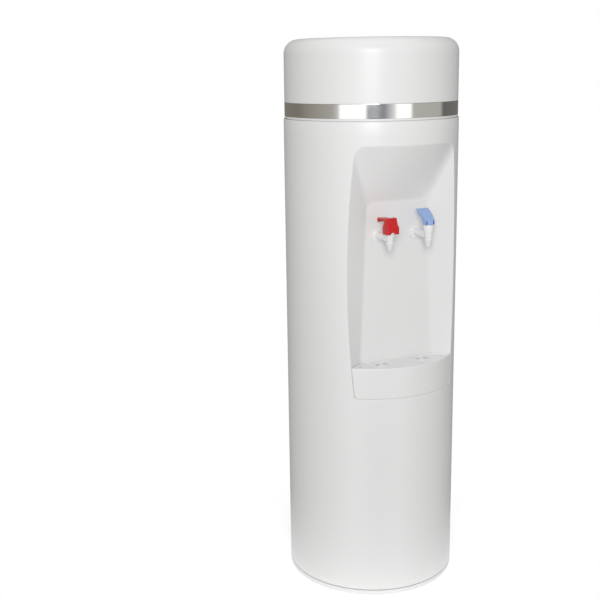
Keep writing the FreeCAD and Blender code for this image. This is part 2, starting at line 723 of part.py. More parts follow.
def make_hot_lever():
    """Block-shaped lever with cheeks beside the bonnet, and the child-safety latch behind it."""
    lever = new_body("hot_lever")
    foot = d.lever_half_depth
    low = d.bonnet_top + d.fit_gap
    top = d.pin_rise + 14
    outer = d.hood_half + d.cheek_wall
    side_view = sketch_on(lever, "YZ_Plane", 0)
    polygon(side_view, [(-foot, low), (foot, low), (foot, top - 5), (foot - 2, top), (-foot + 1, top),
                        (-foot - 1, top - 4)])
    pad(lever, side_view, outer * 2, both_ways=True)
    for side in (-1, 1):
        cheek = sketch_on(lever, "YZ_Plane", side * (d.hood_half + d.cheek_wall * 0.5))
        cheek_drop = d.barrel_rise + 0.5
        polygon(cheek, [(-foot, cheek_drop), (foot - 1, cheek_drop), (foot, cheek_drop + 2), (foot, low + 1),
                        (-foot, low + 1)])
        pad(lever, cheek, d.cheek_wall, both_ways=True)
    lever_foot(lever, d.pin_rise + 4.2)
    rear_slot = sketch_on(lever, "YZ_Plane", 0)
    slot_floor = top - 8
    rectangle(rear_slot, 0, slot_floor, foot + 1, top + 1)
    pocket(lever, rear_slot, d.latch_width + 0.6, both_ways=True)
    tap_place(lever, -1)

    latch = new_body("hot_latch")
    arm = sketch_on(latch, "YZ_Plane", 0)
    arm_base = top - 6
    reach = d.latch_reach
    polygon(arm, [(0.6, arm_base), (reach - 5.5, arm_base), (reach - 4, arm_base - 4.5),
                  (reach - 1, arm_base - 4.5), (reach, arm_base + 0.5), (reach - 2, arm_base + 3),
                  (3, arm_base + 4.4), (0.6, arm_base + 4)])
    pad(latch, arm, d.latch_width, both_ways=True)
    eye = sketch_on(latch, "YZ_Plane", 0)
    circle(eye, 3.2, top - 3.8, 1.05)
    pocket(latch, eye, 30, both_ways=True)
    tap_place(latch, -1)
    pin = new_body("hot_latch_pin")
    end = sketch_on(pin, "YZ_Plane", 0)
    circle(end, 3.2, top - 3.8, 1.0)
    pad(pin, end, d.latch_width + 0.6, both_ways=True)
    tap_place(pin, -1)


# ---------------------------------------------------------------- water tanks

LINE_RISERS = ((-95, 70), (95, 70), (100, 85))  # where refrigerant lines run up through the shelf


def make_tanks():
    """Cold reservoir with its jacket, coil, baffle, cover and float, and the hot tank on its shelf."""
    wall = d.tank_wall
    tank = new_body("cold_reservoir")
    turned(tank, [(0, d.tank_base), (d.tank_radius, d.tank_base), (d.tank_radius, d.deck_top + 0.1),
                  (d.tank_radius + 7, d.deck_top + 0.1), (d.tank_radius + 7, d.deck_top + wall + 0.1),
                  (d.tank_radius - wall, d.deck_top + wall + 0.1), (d.tank_radius - wall, d.tank_base + wall),
                  (0, d.tank_base + wall)])
    place(tank, 0, d.tank_back, 0)

    jacket = doc.addObject("PartDesign::Body", "jacket")
    turned(jacket, [(0, d.jacket_base), (d.jacket_radius, d.jacket_base), (d.jacket_radius, d.jacket_top),
                    (d.jacket_inner, d.jacket_top), (d.jacket_inner, d.jacket_base + 12), (0, d.jacket_base + 12)])
    place(jacket, 0, d.tank_back, 0)
    passages = [cylinder(x, y, d.jacket_base - 2, d.hose_radius + 0.6, 20)
                for x, y in ((d.tap_offset, 0), (-78, d.tank_back))]
    node(cut(jacket, *passages), "insulation_jacket")

    turns = 8
    pitch = 15.0
    coil_radius = d.tank_radius.number + 4.0
    helix = Part.makeHelix(pitch, pitch * turns, coil_radius)
    profile = Part.Wire(Part.makeCircle(d.coil_tube.number, Vector(coil_radius, 0, 0), Vector(0, 1, 0)))
    coil = Part.Wire(helix).makePipeShell([profile], True, True)
    place(node(feature(coil, "evaporator_coil"), "evaporator_coil"), 0, d.tank_back, d.tank_base + 12)

    baffle = new_body("reservoir_baffle")
    turned(baffle, [(14, 795), (d.tank_radius - wall - 0.5, 795), (d.tank_radius - wall - 0.5, 798), (14, 798)])
    place(baffle, 0, d.tank_back, 0)

    cover = new_body("reservoir_cover")
    lowest = d.deck_top + wall + 0.1
    turned(cover, [(0, lowest), (d.tank_radius + 5, lowest), (d.tank_radius + 5, lowest + 3), (0, lowest + 3)])
    hole = sketch_on(cover, "XY_Plane", lowest + 3)
    circle(hole, 0, 55, 9.2)
    pocket(cover, hole, 10)
    place(cover, 0, d.tank_back, 0)

    float_back = d.tank_back + 55
    valve = new_body("float_valve")
    turned(valve, [(0, 862), (7, 862), (7, 868), (9, 868), (9, 896), (12, 896), (12, 902), (0, 902)])
    clevis = sketch_on(valve, "XZ_Plane", 0)
    rectangle(clevis, -2.3, 860, 2.3, 868)
    pocket(valve, clevis, 30, both_ways=True)
    hinge = sketch_on(valve, "YZ_Plane", 0)
    circle(hinge, 0, 865, 1.2)
    pocket(valve, hinge, 30, both_ways=True)
    place(valve, 0, float_back, 0)

    arm_end = -64
    drop = -24
    ball = doc.addObject("Part::Sphere", "ball")
    bind(ball, "Radius", 15)
    place(ball, 0, arm_end, drop)
    length = math.hypot(arm_end, drop)
    rod = cylinder(0, 0, 0, 1.8, length - 8, Vector(0, arm_end, drop), "float_rod")
    pivot = cylinder(-6.5, 0, 0, 1.15, 13, Vector(1, 0, 0), "float_pivot")
    place(node(fuse(ball, rod, pivot), "float_arm"), 0, float_back, 865)

    hot = new_body("hot_tank")
    hot_top = d.hot_base + d.hot_rise
    slope = 12
    inset = slope + 0.5
    turned(hot, [(0, d.hot_base), (d.hot_radius - slope, d.hot_base), (d.hot_radius, d.hot_base + slope),
                 (d.hot_radius, hot_top - slope), (d.hot_radius - slope, hot_top), (3, hot_top),
                 (3, hot_top - wall), (d.hot_radius - inset, hot_top - wall),
                 (d.hot_radius - wall, hot_top - inset), (d.hot_radius - wall, d.hot_base + inset),
                 (d.hot_radius - inset, d.hot_base + wall), (0, d.hot_base + wall)])
    place(hot, 0, d.tank_back, 0)
    heater = new_body("heater_band")
    turned(heater, [(d.hot_radius + 0.1, 505), (d.hot_radius + 3, 505), (d.hot_radius + 3, 545),
                    (d.hot_radius + 0.1, 545)])
    place(heater, 0, d.tank_back, 0)
    plate = cylinder(0, 0, d.shelf_base, d.body_radius - d.shell_wall - 0.5, d.sheet_metal, name="shelf_disc")
    front = box(-170, -170, d.shelf_base - 5, 340, 80, 20, "front_cut")
    rear = box(-170, 110, d.shelf_base - 5, 340, 80, 20, "rear_cut")
    passages = [cylinder(x, y, d.shelf_base - 5, 4, 20, name="line_hole") for x, y in LINE_RISERS]
    node(cut(plate, front, rear, *passages), "tank_shelf")
    stand = new_body("hot_tank_stand")
    turned(stand, [(26, d.shelf_base + d.sheet_metal), (32, d.shelf_base + d.sheet_metal), (32, d.hot_base - 0.1),
                   (26, d.hot_base - 0.1)])
    place(stand, 0, d.tank_back, 0)


def make_hoses():
    """Silicone hoses between the tanks and the taps."""
    arm_height = d.tap_height.number
    tap_x = d.tap_offset.number
    shank_y = -d.tap_reach.number + d.shank_end.number + 0.1
    tank_floor = d.tank_base.number - 0.1
    back = d.tank_back.number
    hot_top = d.hot_base.number + d.hot_rise.number + 0.1
    radius = d.hose_radius.number
    routes = {
        "cold_hose": [(tap_x, shank_y, arm_height), (tap_x, 0, arm_height), (tap_x, 0, tank_floor)],
        "hot_hose": [(-tap_x, shank_y, arm_height), (-tap_x, -40, arm_height), (0, back, 655),
                     (0, back, hot_top)],
        "feed_hose": [(-78, back, tank_floor), (-78, back, 480),
                      (-d.hot_radius.number - 0.1, back, 480)],
    }
    for name, route in routes.items():
        bend = 12 if name != "feed_hose" else 15
        node(feature(hose(route, radius, bend), name), name)


# ---------------------------------------------------------------- cooling unit

def make_cooling():
    """Compressor on rubber mounts, condenser with its wires, and the filter-drier."""
    base = d.base_top + d.sheet_metal
    mounts = []
    for x in (-56, 56):
        for y in (-42, 42):
            mounts.append(cylinder(x, y, base, 9, d.mount_rise, name="mount"))
    group = doc.addObject("Part::Compound", "mount_group")
    group.Links = mounts
    node(group, "compressor_mounts")
    shell = new_body("compressor")
    low = base + d.mount_rise
    turned(shell, [(0, low), (d.compressor_radius - 8, low), (d.compressor_radius, low + 20),
                   (d.compressor_radius, low + d.compressor_rise), (0, low + d.compressor_rise)])
    top_edge = (low + d.compressor_rise).number
    rounded(shell, 28, lambda edge: is_ring(edge, d.compressor_radius.number, top_edge))
    foot = sketch_on(shell, "XY_Plane", low)
    rectangle(foot, -68, -54, 68, 54)
    pad(shell, foot, 3)

    half = d.condenser_half.number
    pitch = d.condenser_pitch.number
    plane = d.condenser_back.number
    lowest = d.condenser_base.number
    tube = d.condenser_tube.number
    runs = 9
    edges = []
    for index in range(runs):
        side = 1 if index % 2 == 0 else -1
        height = lowest + pitch * index
        start = Vector(-half * side, plane, height)
        end = Vector(half * side, plane, height)
        edges.append(Part.LineSegment(start, end).toShape())
        if index < runs - 1:
            middle = Vector((half + pitch / 2) * side, plane, height + pitch / 2)
            edges.append(Part.Arc(end, middle, Vector(half * side, plane, height + pitch)).toShape())
    profile = Part.Wire(Part.makeCircle(tube, Vector(-half, plane, lowest), Vector(1, 0, 0)))
    coil = Part.Wire(edges).makePipeShell([profile], True, True)
    wires = [feature(coil, "condenser_tube")]
    wire_gap = tube + 1.0
    for column in range(12):
        x = -55 + 10 * column
        for side in (-1, 1):
            wires.append(cylinder(x, plane + side * wire_gap, lowest - 8, 0.8, pitch * (runs - 1) + 16,
                                  name="wire"))
    group = doc.addObject("Part::Compound", "condenser_group")
    group.Links = wires
    node(group, "condenser")
    liquid, suction, discharge = LINE_RISERS
    drier_base = 210
    drier = new_body("filter_drier")
    turned(drier, [(0, 0), (3, 0), (3, 10), (9, 16), (9, 70), (3, 76), (3, 86), (0, 86)])
    place(drier, *liquid, drier_base)

    touch = 0.2
    jacket_floor = d.jacket_base.number - touch
    side_port = (d.compressor_radius.number + touch, 0, 130)
    highest = lowest + pitch * (runs - 1)
    routes = [
        [side_port, (discharge[0], 0, 130), (*discharge, 130), (*discharge, highest), (84, plane, highest),
         (half + touch, plane, highest)],
        [(-half - touch, plane, lowest), (-84, plane, lowest), (*liquid, lowest - 12),
         (*liquid, drier_base - touch)],
        [(*liquid, drier_base + 86 + touch), (*liquid, jacket_floor)],
        [(*suction, jacket_floor), (*suction, 190), (0, 0, 190), (0, 0, top_edge + touch)],
    ]
    lines = [feature(hose(route, 2.2, 7), "line") for route in routes]
    group = doc.addObject("Part::Compound", "line_group")
    group.Links = lines
    node(group, "refrigerant_lines")
    case = new_body("control_box")
    sketch = sketch_on(case, "XY_Plane", base)
    rectangle(sketch, 74, -30, 118, 60)
    pad(case, sketch, 90)


# ---------------------------------------------------------------- rear of the tower

def screw_head(angle, height):
    """A low screw head whose underside follows the rear panel."""
    outward = Vector(math.sin(angle), math.cos(angle), 0)
    seat = d.body_radius.number - 0.5
    rod = cylinder(outward.x * seat, outward.y * seat, height, d.screw_radius, 1.3, outward, "screw")
    return cut(rod, cylinder(0, 0, height - 10, d.body_radius, 20, name="panel_face"))


def make_rear():
    """Curved louvred panel, flat service plate and what is fixed to it."""
    outer = cylinder(0, 0, d.rear_split + 0.4, d.body_radius, d.rear_top - d.rear_split - 0.8)
    inner = cylinder(0, 0, 0, d.body_radius - 2, 1000)
    skin = cut(outer, inner)
    width = (d.rear_half - 0.4) * 2
    window = box(-d.rear_half + 0.4, 100, d.rear_split, width, 80, d.rear_top - d.rear_split)
    louvres = []
    for bank, count in ((215, 9), (560, 9)):
        for index in range(count):
            louvres.append(box(-50, 130, bank + 20 * index, 100, 60, 5, "louvre"))
    group = doc.addObject("Part::Compound", "louvre_group")
    group.Links = louvres
    node(cut(common(skin, window), group), "rear_panel")

    plate = new_body("service_plate")
    face = sketch_on(plate, "XZ_Plane", -d.service_back)
    overlap = 4
    rectangle(face, -d.rear_half - overlap, d.rear_base - overlap, d.rear_half + overlap, d.rear_split)
    pad(plate, face, d.sheet_metal)
    holes = sketch_on(plate, "XZ_Plane", -d.service_back)
    rectangle(holes, -56.2, 55.8, -23.8, 84.2)
    rectangle(holes, -48.2, 115.8, -1.8, 144.2)
    circle(holes, 45, 70, 8.2)
    pocket(plate, holes, 8, backwards=True)
    top_flange = new_body("service_shelf")
    shelf = sketch_on(top_flange, "XY_Plane", d.rear_split - 2)
    polygon(shelf, [(-70, d.service_back + 0.1), (70, d.service_back + 0.1), (60, 144), (0, 155), (-60, 144)])
    pad(top_flange, shelf, d.sheet_metal)

    back = d.service_back
    inlet = doc.addObject("PartDesign::Body", "power_shell")
    front = sketch_on(inlet, "XZ_Plane", -(back + 2))
    rectangle(front, -59, 53, -21, 87)
    pad(inlet, front, 2)
    barrel = sketch_on(inlet, "XZ_Plane", -(back + 0.5))
    rectangle(barrel, -56, 56, -24, 84)
    pad(inlet, barrel, 20)
    well = sketch_on(inlet, "XZ_Plane", -(back + 2))
    polygon(well, [(-53, 59), (-27, 59), (-27, 75), (-32, 81), (-48, 81), (-53, 75)])
    pocket(inlet, well, 17, backwards=True)
    blades = [box(x - 2, back - 16, z - 1, 4, 14, 2, "blade") for x, z in ((-47, 67), (-33, 67), (-40, 74))]
    node(fuse(inlet, *blades), "power_inlet")

    frame = new_body("switch_frame")
    outline = sketch_on(frame, "XZ_Plane", -(back + 2))
    rectangle(outline, -51, 113, 1, 147)
    pad(frame, outline, 2)
    casing = sketch_on(frame, "XZ_Plane", -(back + 0.5))
    rectangle(casing, -48, 116, -2, 144)
    pad(frame, casing, 16)
    for low_x in (-46, -23.5):
        opening = sketch_on(frame, "XZ_Plane", -(back + 2))
        rectangle(opening, low_x, 118, low_x + 19.5, 142)
        pocket(frame, opening, 12, backwards=True)
    pivot = sketch_on(frame, "YZ_Plane", -48)
    circle(pivot, back - 1.5, 130, 1.2)
    pad(frame, pivot, 46)
    for name, centre in (("heater_switch", -36.25), ("cooler_switch", -13.75)):
        rocker = new_body(name)
        side_view = sketch_on(rocker, "YZ_Plane", 0)
        polygon(side_view, [(-5, -4), (-1.2, -9.8), (3.4, -9.8), (1.6, 0), (0.6, 9.8), (-4, 9.8)])
        pad(rocker, side_view, 18.9, both_ways=True)
        eye = sketch_on(rocker, "YZ_Plane", 0)
        circle(eye, -1.5, 0, 1.25)
        pocket(rocker, eye, 30, both_ways=True)
        place(rocker, centre, back, 130)

    bulkhead = new_body("water_inlet")
    turned(bulkhead, [(d.inlet_bore, 0), (8, 0), (8, 24), (d.inlet_bore, 24)])
    collar = sketch_on(bulkhead, "XY_Plane", 11.2)
    circle(collar, 0, 0, 12)
    circle(collar, 0, 0, 7)
    pad(bulkhead, collar, 4)
    bulkhead.Placement = Placement(Vector(), Rotation(Vector(0, 0, 1), Vector(0, 1, 0)))
    place(bulkhead, 45, back - 11, 70)

    group = doc.addObject("Part::Compound", "screw_group")
    group.Links = [screw_head(math.asin(72.0 / d.body_radius.number) * side, height)
                   for side in (-1, 1) for height in (190, 420, 610, 836)]
    node(group, "panel_screws")


def check_model():
    """Stop if any object failed or any sub-part has no valid shape."""
    failed = [obj.Name for obj in doc.Objects if "Invalid" in obj.State or "Error" in obj.State]
    bad = [obj.Label for obj in nodes if obj.Shape.isNull() or not obj.Shape.isValid()]
    labels = [obj.Label for obj in nodes]
    repeated = sorted({label for label in labels if labels.count(label) > 1 or re.search(r"\d$", label)})
    if failed or bad or repeated:
        raise RuntimeError(f"failed {failed}, bad shapes {bad}, labels {repeated}")


make_base()
make_shell()
make_liner()
make_deck()
make_lid()
make_tray()
for tap_name, tap_side in (("hot", -1), ("cold", 1)):
    make_tap(tap_name, tap_side)
make_cold_lever()
make_hot_lever()
make_tanks()
make_hoses()
make_cooling()
make_rear()
doc.recompute()
check_model()
os.makedirs("parts", exist_ok=True)
for sub_part in nodes:
    sub_part.Shape.exportStep(f"parts/{sub_part.Label}.step")
    solids = len(sub_part.Shape.Solids)
    print(f"{sub_part.Label:22s} {solids:3d} solids {sub_part.Shape.Volume / 1000:10.2f} cm3")
print(len(nodes), "sub-parts")
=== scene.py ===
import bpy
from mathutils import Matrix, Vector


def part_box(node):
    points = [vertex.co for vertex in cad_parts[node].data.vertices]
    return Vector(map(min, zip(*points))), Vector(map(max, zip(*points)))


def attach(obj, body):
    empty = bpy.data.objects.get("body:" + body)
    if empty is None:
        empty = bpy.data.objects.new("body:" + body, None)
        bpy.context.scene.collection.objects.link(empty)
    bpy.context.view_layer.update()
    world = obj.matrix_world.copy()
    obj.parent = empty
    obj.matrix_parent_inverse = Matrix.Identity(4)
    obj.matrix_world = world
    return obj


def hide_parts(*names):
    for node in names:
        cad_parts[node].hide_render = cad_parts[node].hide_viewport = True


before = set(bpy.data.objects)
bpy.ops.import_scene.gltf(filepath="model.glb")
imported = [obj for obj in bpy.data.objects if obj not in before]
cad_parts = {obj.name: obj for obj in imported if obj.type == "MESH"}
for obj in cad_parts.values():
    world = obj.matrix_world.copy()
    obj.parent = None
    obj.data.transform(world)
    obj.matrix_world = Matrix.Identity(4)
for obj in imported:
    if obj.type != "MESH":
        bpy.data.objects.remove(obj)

"""Looks of a floor-standing water dispenser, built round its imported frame.

Lengths inside the classes are millimetres; Draft.piece turns them into metres.
"""

import logging
import math
from dataclasses import dataclass, field
from enum import Enum
from typing import Callable, Iterable, Optional, Sequence, Union

import bmesh
import bpy
from mathutils import Matrix, Vector

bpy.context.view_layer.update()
MM = 0.001
WELD = 2e-6
CREASE = 32.0
Point = tuple[float, float, float]
Flat = tuple[float, float]
Value = Union["Signal", float, tuple]
FEET = ("foot_front_left", "foot_front_right", "foot_rear_left", "foot_rear_right")
log = logging.getLogger("water_dispenser")


class Side(Enum):
    """The two taps, with the side of the centre line that each is on."""

    HOT = -1
    COLD = 1

    @property
    def label(self) -> str:
        """Lower-case name, as the nodes and bodies use it."""
        return self.name.lower()


# ---------------------------------------------------------------- node graphs

class Graph:
    """Adds nodes to one shader or geometry tree."""

    def __init__(self, tree: bpy.types.NodeTree) -> None:
        """Keep the tree that nodes are added to."""
        self.tree = tree

    def node(self, kind: str, settings: Optional[dict] = None, output: int | str = 0,
             **inputs: Value) -> "Signal":
        """Add a node.

        Args:
            kind: Blender's name of the node type.
            settings: properties that are set before the sockets, such as an operation.
            output: which output the returned signal stands for.
            inputs: values or signals by socket name, with _ for a space, or in0, in1 for a position.

        Returns:
            The signal of the chosen output.
        """
        made = self.tree.nodes.new(kind)
        for name, value in (settings or {}).items():
            if name == "stops":
                self._set_stops(made, value)
            else:
                setattr(made, name, value)
        for name, value in inputs.items():
            by_position = name.startswith("in") and name[2:].isdigit()
            socket = made.inputs[int(name[2:])] if by_position else made.inputs[name.replace("_", " ")]
            self.feed(socket, value)
        return Signal(self, made.outputs[output])

    @staticmethod
    def _set_stops(ramp: bpy.types.Node, stops: Sequence[tuple[float, tuple]]) -> None:
        """Give a colour ramp its stops.

        Args:
            ramp: the Color Ramp node.
            stops: (position, colour) from left to right.
        """
        elements = ramp.color_ramp.elements
        while len(elements) < len(stops):
            elements.new(0.5)
        for element, (position, colour) in zip(elements, stops):
            element.position = position
            element.color = colour

    def feed(self, socket: bpy.types.NodeSocket, value: Value) -> None:
        """Link a signal to a socket or set the socket's value.

        Args:
            socket: an input of one of the tree's nodes.
            value: the signal or the plain value that it gets.
        """
        if isinstance(value, Signal):
            self.tree.links.new(value.socket, socket)
        else:
            socket.default_value = value

    def math(self, operation: str, first: Value, second: Value = 0.0) -> "Signal":
        """Add one Math node."""
        return self.node("ShaderNodeMath", {"operation": operation}, in0=first, in1=second)

    def join(self, *parts: "Signal") -> "Signal":
        """Join geometries.

        Args:
            parts: the geometries, in order.

        Returns:
            All of them in one geometry.
        """
        joined = self.tree.nodes.new("GeometryNodeJoinGeometry")
        for part in parts:
            self.tree.links.new(part.socket, joined.inputs[0])
        return Signal(self, joined.outputs[0])

    @classmethod
    def grower(cls, name: str, sizes: dict[str, float]) -> tuple["Graph", dict[str, "Signal"]]:
        """Start a geometry tree that takes a mesh, named sizes and a material.

        Args:
            name: the tree's name.
            sizes: its number inputs by name, in metres or radians.

        Returns:
            The graph, and its inputs by name, with "Geometry" and "Material" among them.
        """
        tree = bpy.data.node_groups.new(name, "GeometryNodeTree")
        tree.interface.new_socket("Geometry", in_out="INPUT", socket_type="NodeSocketGeometry")
        for label, value in sizes.items():
            socket = tree.interface.new_socket(label, in_out="INPUT", socket_type="NodeSocketFloat")
            socket.default_value = value
        tree.interface.new_socket("Material", in_out="INPUT", socket_type="NodeSocketMaterial")
        tree.interface.new_socket("Geometry", in_out="OUTPUT", socket_type="NodeSocketGeometry")
        graph = cls(tree)
        entry = tree.nodes.new("NodeGroupInput")
        labels = ("Geometry", *sizes, "Material")
        return graph, {label: Signal(graph, entry.outputs[label]) for label in labels}

    def grown(self, geometry: "Signal", material: "Signal") -> bpy.types.GeometryNodeTree:
        """End a geometry tree: make its instances real, give it its material and put it out.

        Args:
            geometry: what the tree has made.
            material: the tree's material input.

        Returns:
            The finished tree.
        """
        real = self.node("GeometryNodeRealizeInstances", Geometry=geometry)
        finished = self.node("GeometryNodeSetMaterial", Geometry=real, Material=material)
        self.feed(self.tree.nodes.new("NodeGroupOutput").inputs["Geometry"], finished)
        return self.tree


@dataclass(frozen=True)
class Signal:
    """A socket that takes part in Python arithmetic by adding Math nodes."""

    graph: Graph
    socket: bpy.types.NodeSocket

    def __add__(self, other: Value) -> "Signal":
        """Sum."""
        return self.graph.math("ADD", self, other)

    def __sub__(self, other: Value) -> "Signal":
        """Difference."""
        return self.graph.math("SUBTRACT", self, other)

    def __rsub__(self, other: Value) -> "Signal":
        """Difference with the signal last."""
        return self.graph.math("SUBTRACT", other, self)

    def __mul__(self, other: Value) -> "Signal":
        """Product."""
        return self.graph.math("MULTIPLY", self, other)

    def __truediv__(self, other: Value) -> "Signal":
        """Quotient."""
        return self.graph.math("DIVIDE", self, other)

    __radd__ = __add__
    __rmul__ = __mul__

    def clamp(self, low: float = 0.0, high: float = 1.0) -> "Signal":
        """The signal held between two values."""
        return self.graph.math("MINIMUM", self.graph.math("MAXIMUM", self, low), high)


# ---------------------------------------------------------------- finishes

@dataclass(frozen=True)
class Finish:
    """What all finishes share: a name, a colour and a roughness."""

    name: str
    colour: tuple[float, float, float]
    roughness: float = 0.4

    def material(self) -> bpy.types.Material:
        """Make the material, or find it when it is already made.

        Returns:
            The material.
        """
        made = bpy.data.materials.get(self.name)
        if made is not None:
            return made
        made = bpy.data.materials.new(self.name)
        made.use_nodes = True
        graph = Graph(made.node_tree)
        shader = made.node_tree.nodes["Principled BSDF"]
        shader.inputs["Base Color"].default_value = (*self.colour, 1.0)
        shader.inputs["Roughness"].default_value = self.roughness
        self.dress(graph, shader)
        made.diffuse_color = (*self.colour, 1.0)
        return made

    def dress(self, graph: Graph, shader: bpy.types.Node) -> None:
        """Add the finish's own nodes; each kind of finish does its own."""

    @staticmethod
    def noise(graph: Graph, scale: float, detail: float, stretch: Point = (1.0, 1.0, 1.0)) -> Signal:
        """Noise on object coordinates.

        Args:
            graph: the material's graph.
            scale: how fine the noise is.
            detail: its octaves.
            stretch: factors along the axes; a large one gives lines across that axis.

        Returns:
            The noise, from 0 to 1.
        """
        place = graph.node("ShaderNodeTexCoord", output="Object")
        mapped = graph.node("ShaderNodeMapping", Vector=place, Scale=stretch)
        return graph.node("ShaderNodeTexNoise", Vector=mapped, Scale=scale, Detail=detail)

    def tint(self, graph: Graph, shader: bpy.types.Node, mask: Signal, other: Point) -> None:
        """Mix the base colour towards another by a mask.

        Args:
            graph: the material's graph.
            shader: its Principled BSDF.
            mask: 0 for the finish's own colour, 1 for the other.
            other: the other colour.
        """
        mixed = graph.node("ShaderNodeMix", {"data_type": "RGBA"}, output=2, in0=mask,
                           in6=(*self.colour, 1.0), in7=(*other, 1.0))
        graph.feed(shader.inputs["Base Color"], mixed)

    @staticmethod
    def bump(graph: Graph, shader: bpy.types.Node, height: Signal, strength: float, depth: float) -> None:
        """Feed a height through a Bump node."""
        normal = graph.node("ShaderNodeBump", Strength=strength, Distance=depth, Height=height)
        graph.feed(shader.inputs["Normal"], normal)


@dataclass(frozen=True)
class Moulded(Finish):
    """Injection-moulded plastic: faint orange peel, uneven gloss and a trace of handling."""

    grain: float = 900.0
    relief: float = 0.00003
    patchiness: float = 0.05
    soiling: float = 0.03

    def dress(self, graph: Graph, shader: bpy.types.Node) -> None:
        """Colour drift, uneven roughness and fine relief.

        Args:
            graph: the material's graph.
            shader: its Principled BSDF.
        """
        broad = self.noise(graph, 7.0, 4.0)
        peel = self.noise(graph, self.grain, 2.0)
        smear = self.noise(graph, 26.0, 5.0, (1.0, 1.0, 0.35))
        worn = ((broad - 0.45) * 2.5).clamp() * self.soiling
        self.tint(graph, shader, worn, tuple(0.55 * part for part in self.colour))
        uneven = (smear - 0.5) * self.patchiness * 2.0 + self.roughness
        graph.feed(shader.inputs["Roughness"], uneven.clamp(0.05, 1.0))
        self.bump(graph, shader, peel + broad * 0.4, 0.35, self.relief)


@dataclass(frozen=True)
class Textured(Finish):
    """Plastic with a moulded stipple that hides scratches."""

    stipple: float = 620.0

    def dress(self, graph: Graph, shader: bpy.types.Node) -> None:
        """Cells for the stipple, with painted shade darkening the valleys.

        Args:
            graph: the material's graph.
            shader: its Principled BSDF.
        """
        place = graph.node("ShaderNodeTexCoord", output="Object")
        cells = graph.node("ShaderNodeTexVoronoi", Vector=place, Scale=self.stipple)
        # Painted shade: the base colour is darkened in the valleys between the pips.
        valley_shade = (cells * 1.6).clamp() * 0.35
        self.tint(graph, shader, valley_shade, tuple(0.84 * part for part in self.colour))
        graph.feed(shader.inputs["Roughness"], (cells * 0.25 + self.roughness).clamp(0.1, 1.0))
        self.bump(graph, shader, 1.0 - cells, 0.6, 0.00025)


@dataclass(frozen=True)
class Metal(Finish):
    """Sheet or drawn metal with fine lines across one axis."""

    lines: Point = (1.0, 1.0, 1.0)
    line_depth: float = 0.000008
    stain: Point = (0.6, 0.58, 0.54)

    def dress(self, graph: Graph, shader: bpy.types.Node) -> None:
        """Brushing, smudged roughness and a slight stain.

        Args:
            graph: the material's graph.
            shader: its Principled BSDF.
        """
        shader.inputs["Metallic"].default_value = 1.0
        grain = self.noise(graph, 420.0, 4.0, self.lines)
        smudge = self.noise(graph, 18.0, 4.0)
        graph.feed(shader.inputs["Roughness"], ((smudge - 0.45) * 0.12 + self.roughness).clamp(0.03, 1.0))
        self.tint(graph, shader, ((smudge - 0.5) * 1.2).clamp() * 0.5, self.stain)
        self.bump(graph, shader, grain, 0.25, self.line_depth)


@dataclass(frozen=True)
class Coated(Finish):
    """Powder-coated or painted sheet metal."""

    grit: float = 1500.0

    def dress(self, graph: Graph, shader: bpy.types.Node) -> None:
        """Fine grit and slight colour drift.

        Args:
            graph: the material's graph.
            shader: its Principled BSDF.
        """
        grit = self.noise(graph, self.grit, 2.0)
        broad = self.noise(graph, 9.0, 4.0)
        dulled = tuple(0.6 * part for part in self.colour)
        self.tint(graph, shader, ((broad - 0.4) * 2.0).clamp() * 0.12, dulled)
        graph.feed(shader.inputs["Roughness"], ((grit - 0.5) * 0.2 + self.roughness).clamp(0.1, 1.0))
        self.bump(graph, shader, grit, 0.5, 0.00012)


@dataclass(frozen=True)
class Soft(Finish):
    """Rubber, silicone or foam: matt, with pores."""

    pores: float = 300.0
    depth: float = 0.0002

    def dress(self, graph: Graph, shader: bpy.types.Node) -> None:
        """Pores in colour and relief.

        Args:
            graph: the material's graph.
            shader: its Principled BSDF.
        """
        place = graph.node("ShaderNodeTexCoord", output="Object")
        cells = graph.node("ShaderNodeTexVoronoi", Vector=place, Scale=self.pores)
        dust = self.noise(graph, 30.0, 5.0)
        grey = tuple(0.5 * part + 0.18 for part in self.colour)
        self.tint(graph, shader, ((dust - 0.5) * 2.0).clamp() * 0.3, grey)
        graph.feed(shader.inputs["Roughness"], (cells * 0.2 + self.roughness).clamp(0.2, 1.0))
        self.bump(graph, shader, cells, 0.4, self.depth)


SHELL_WHITE = Moulded("shell_white", (0.80, 0.80, 0.795), 0.36)
LINER_WHITE = Moulded("liner_white", (0.80, 0.80, 0.795), 0.38)
LID_WHITE = Moulded("lid_white", (0.80, 0.80, 0.795), 0.36)
TAP_WHITE = Moulded("tap_white", (0.84, 0.84, 0.84), 0.18, grain=1400.0, relief=0.00001)
LEVER_RED = Moulded("lever_red", (0.58, 0.004, 0.005), 0.2, grain=1200.0, relief=0.00001)
LEVER_BLUE = Moulded("lever_blue", (0.31, 0.45, 0.76), 0.34, grain=1000.0, relief=0.00004)
# Dark blue for thin plates inside the cold lever's corner recesses: painted shade, not a colour of the lever.
BLUE_RECESS_SHADE = Moulded("lever_blue_recess", (0.06, 0.085, 0.36), 0.4, grain=1000.0)
GRILLE_GREY = Textured("grille_grey", (0.86, 0.865, 0.865), 0.42)
BAND_STEEL = Metal("band_steel", (0.80, 0.795, 0.78), 0.09, lines=(1.0, 1.0, 30.0))
TANK_STEEL = Metal("tank_steel", (0.62, 0.62, 0.61), 0.3, lines=(1.0, 1.0, 20.0))
ZINC_SHEET = Metal("zinc_sheet", (0.55, 0.57, 0.60), 0.42, lines=(20.0, 1.0, 1.0))
COPPER_TUBE = Metal("copper_tube", (0.72, 0.33, 0.17), 0.3, lines=(1.0, 20.0, 1.0),
                    stain=(0.32, 0.14, 0.08))
PANEL_COAT = Coated("panel_coat", (0.70, 0.70, 0.69), 0.5)
BLACK_COAT = Coated("black_coat", (0.018, 0.018, 0.02), 0.42)
BLACK_MOULDED = Moulded("black_moulded", (0.02, 0.02, 0.021), 0.42, grain=1300.0, relief=0.00006)
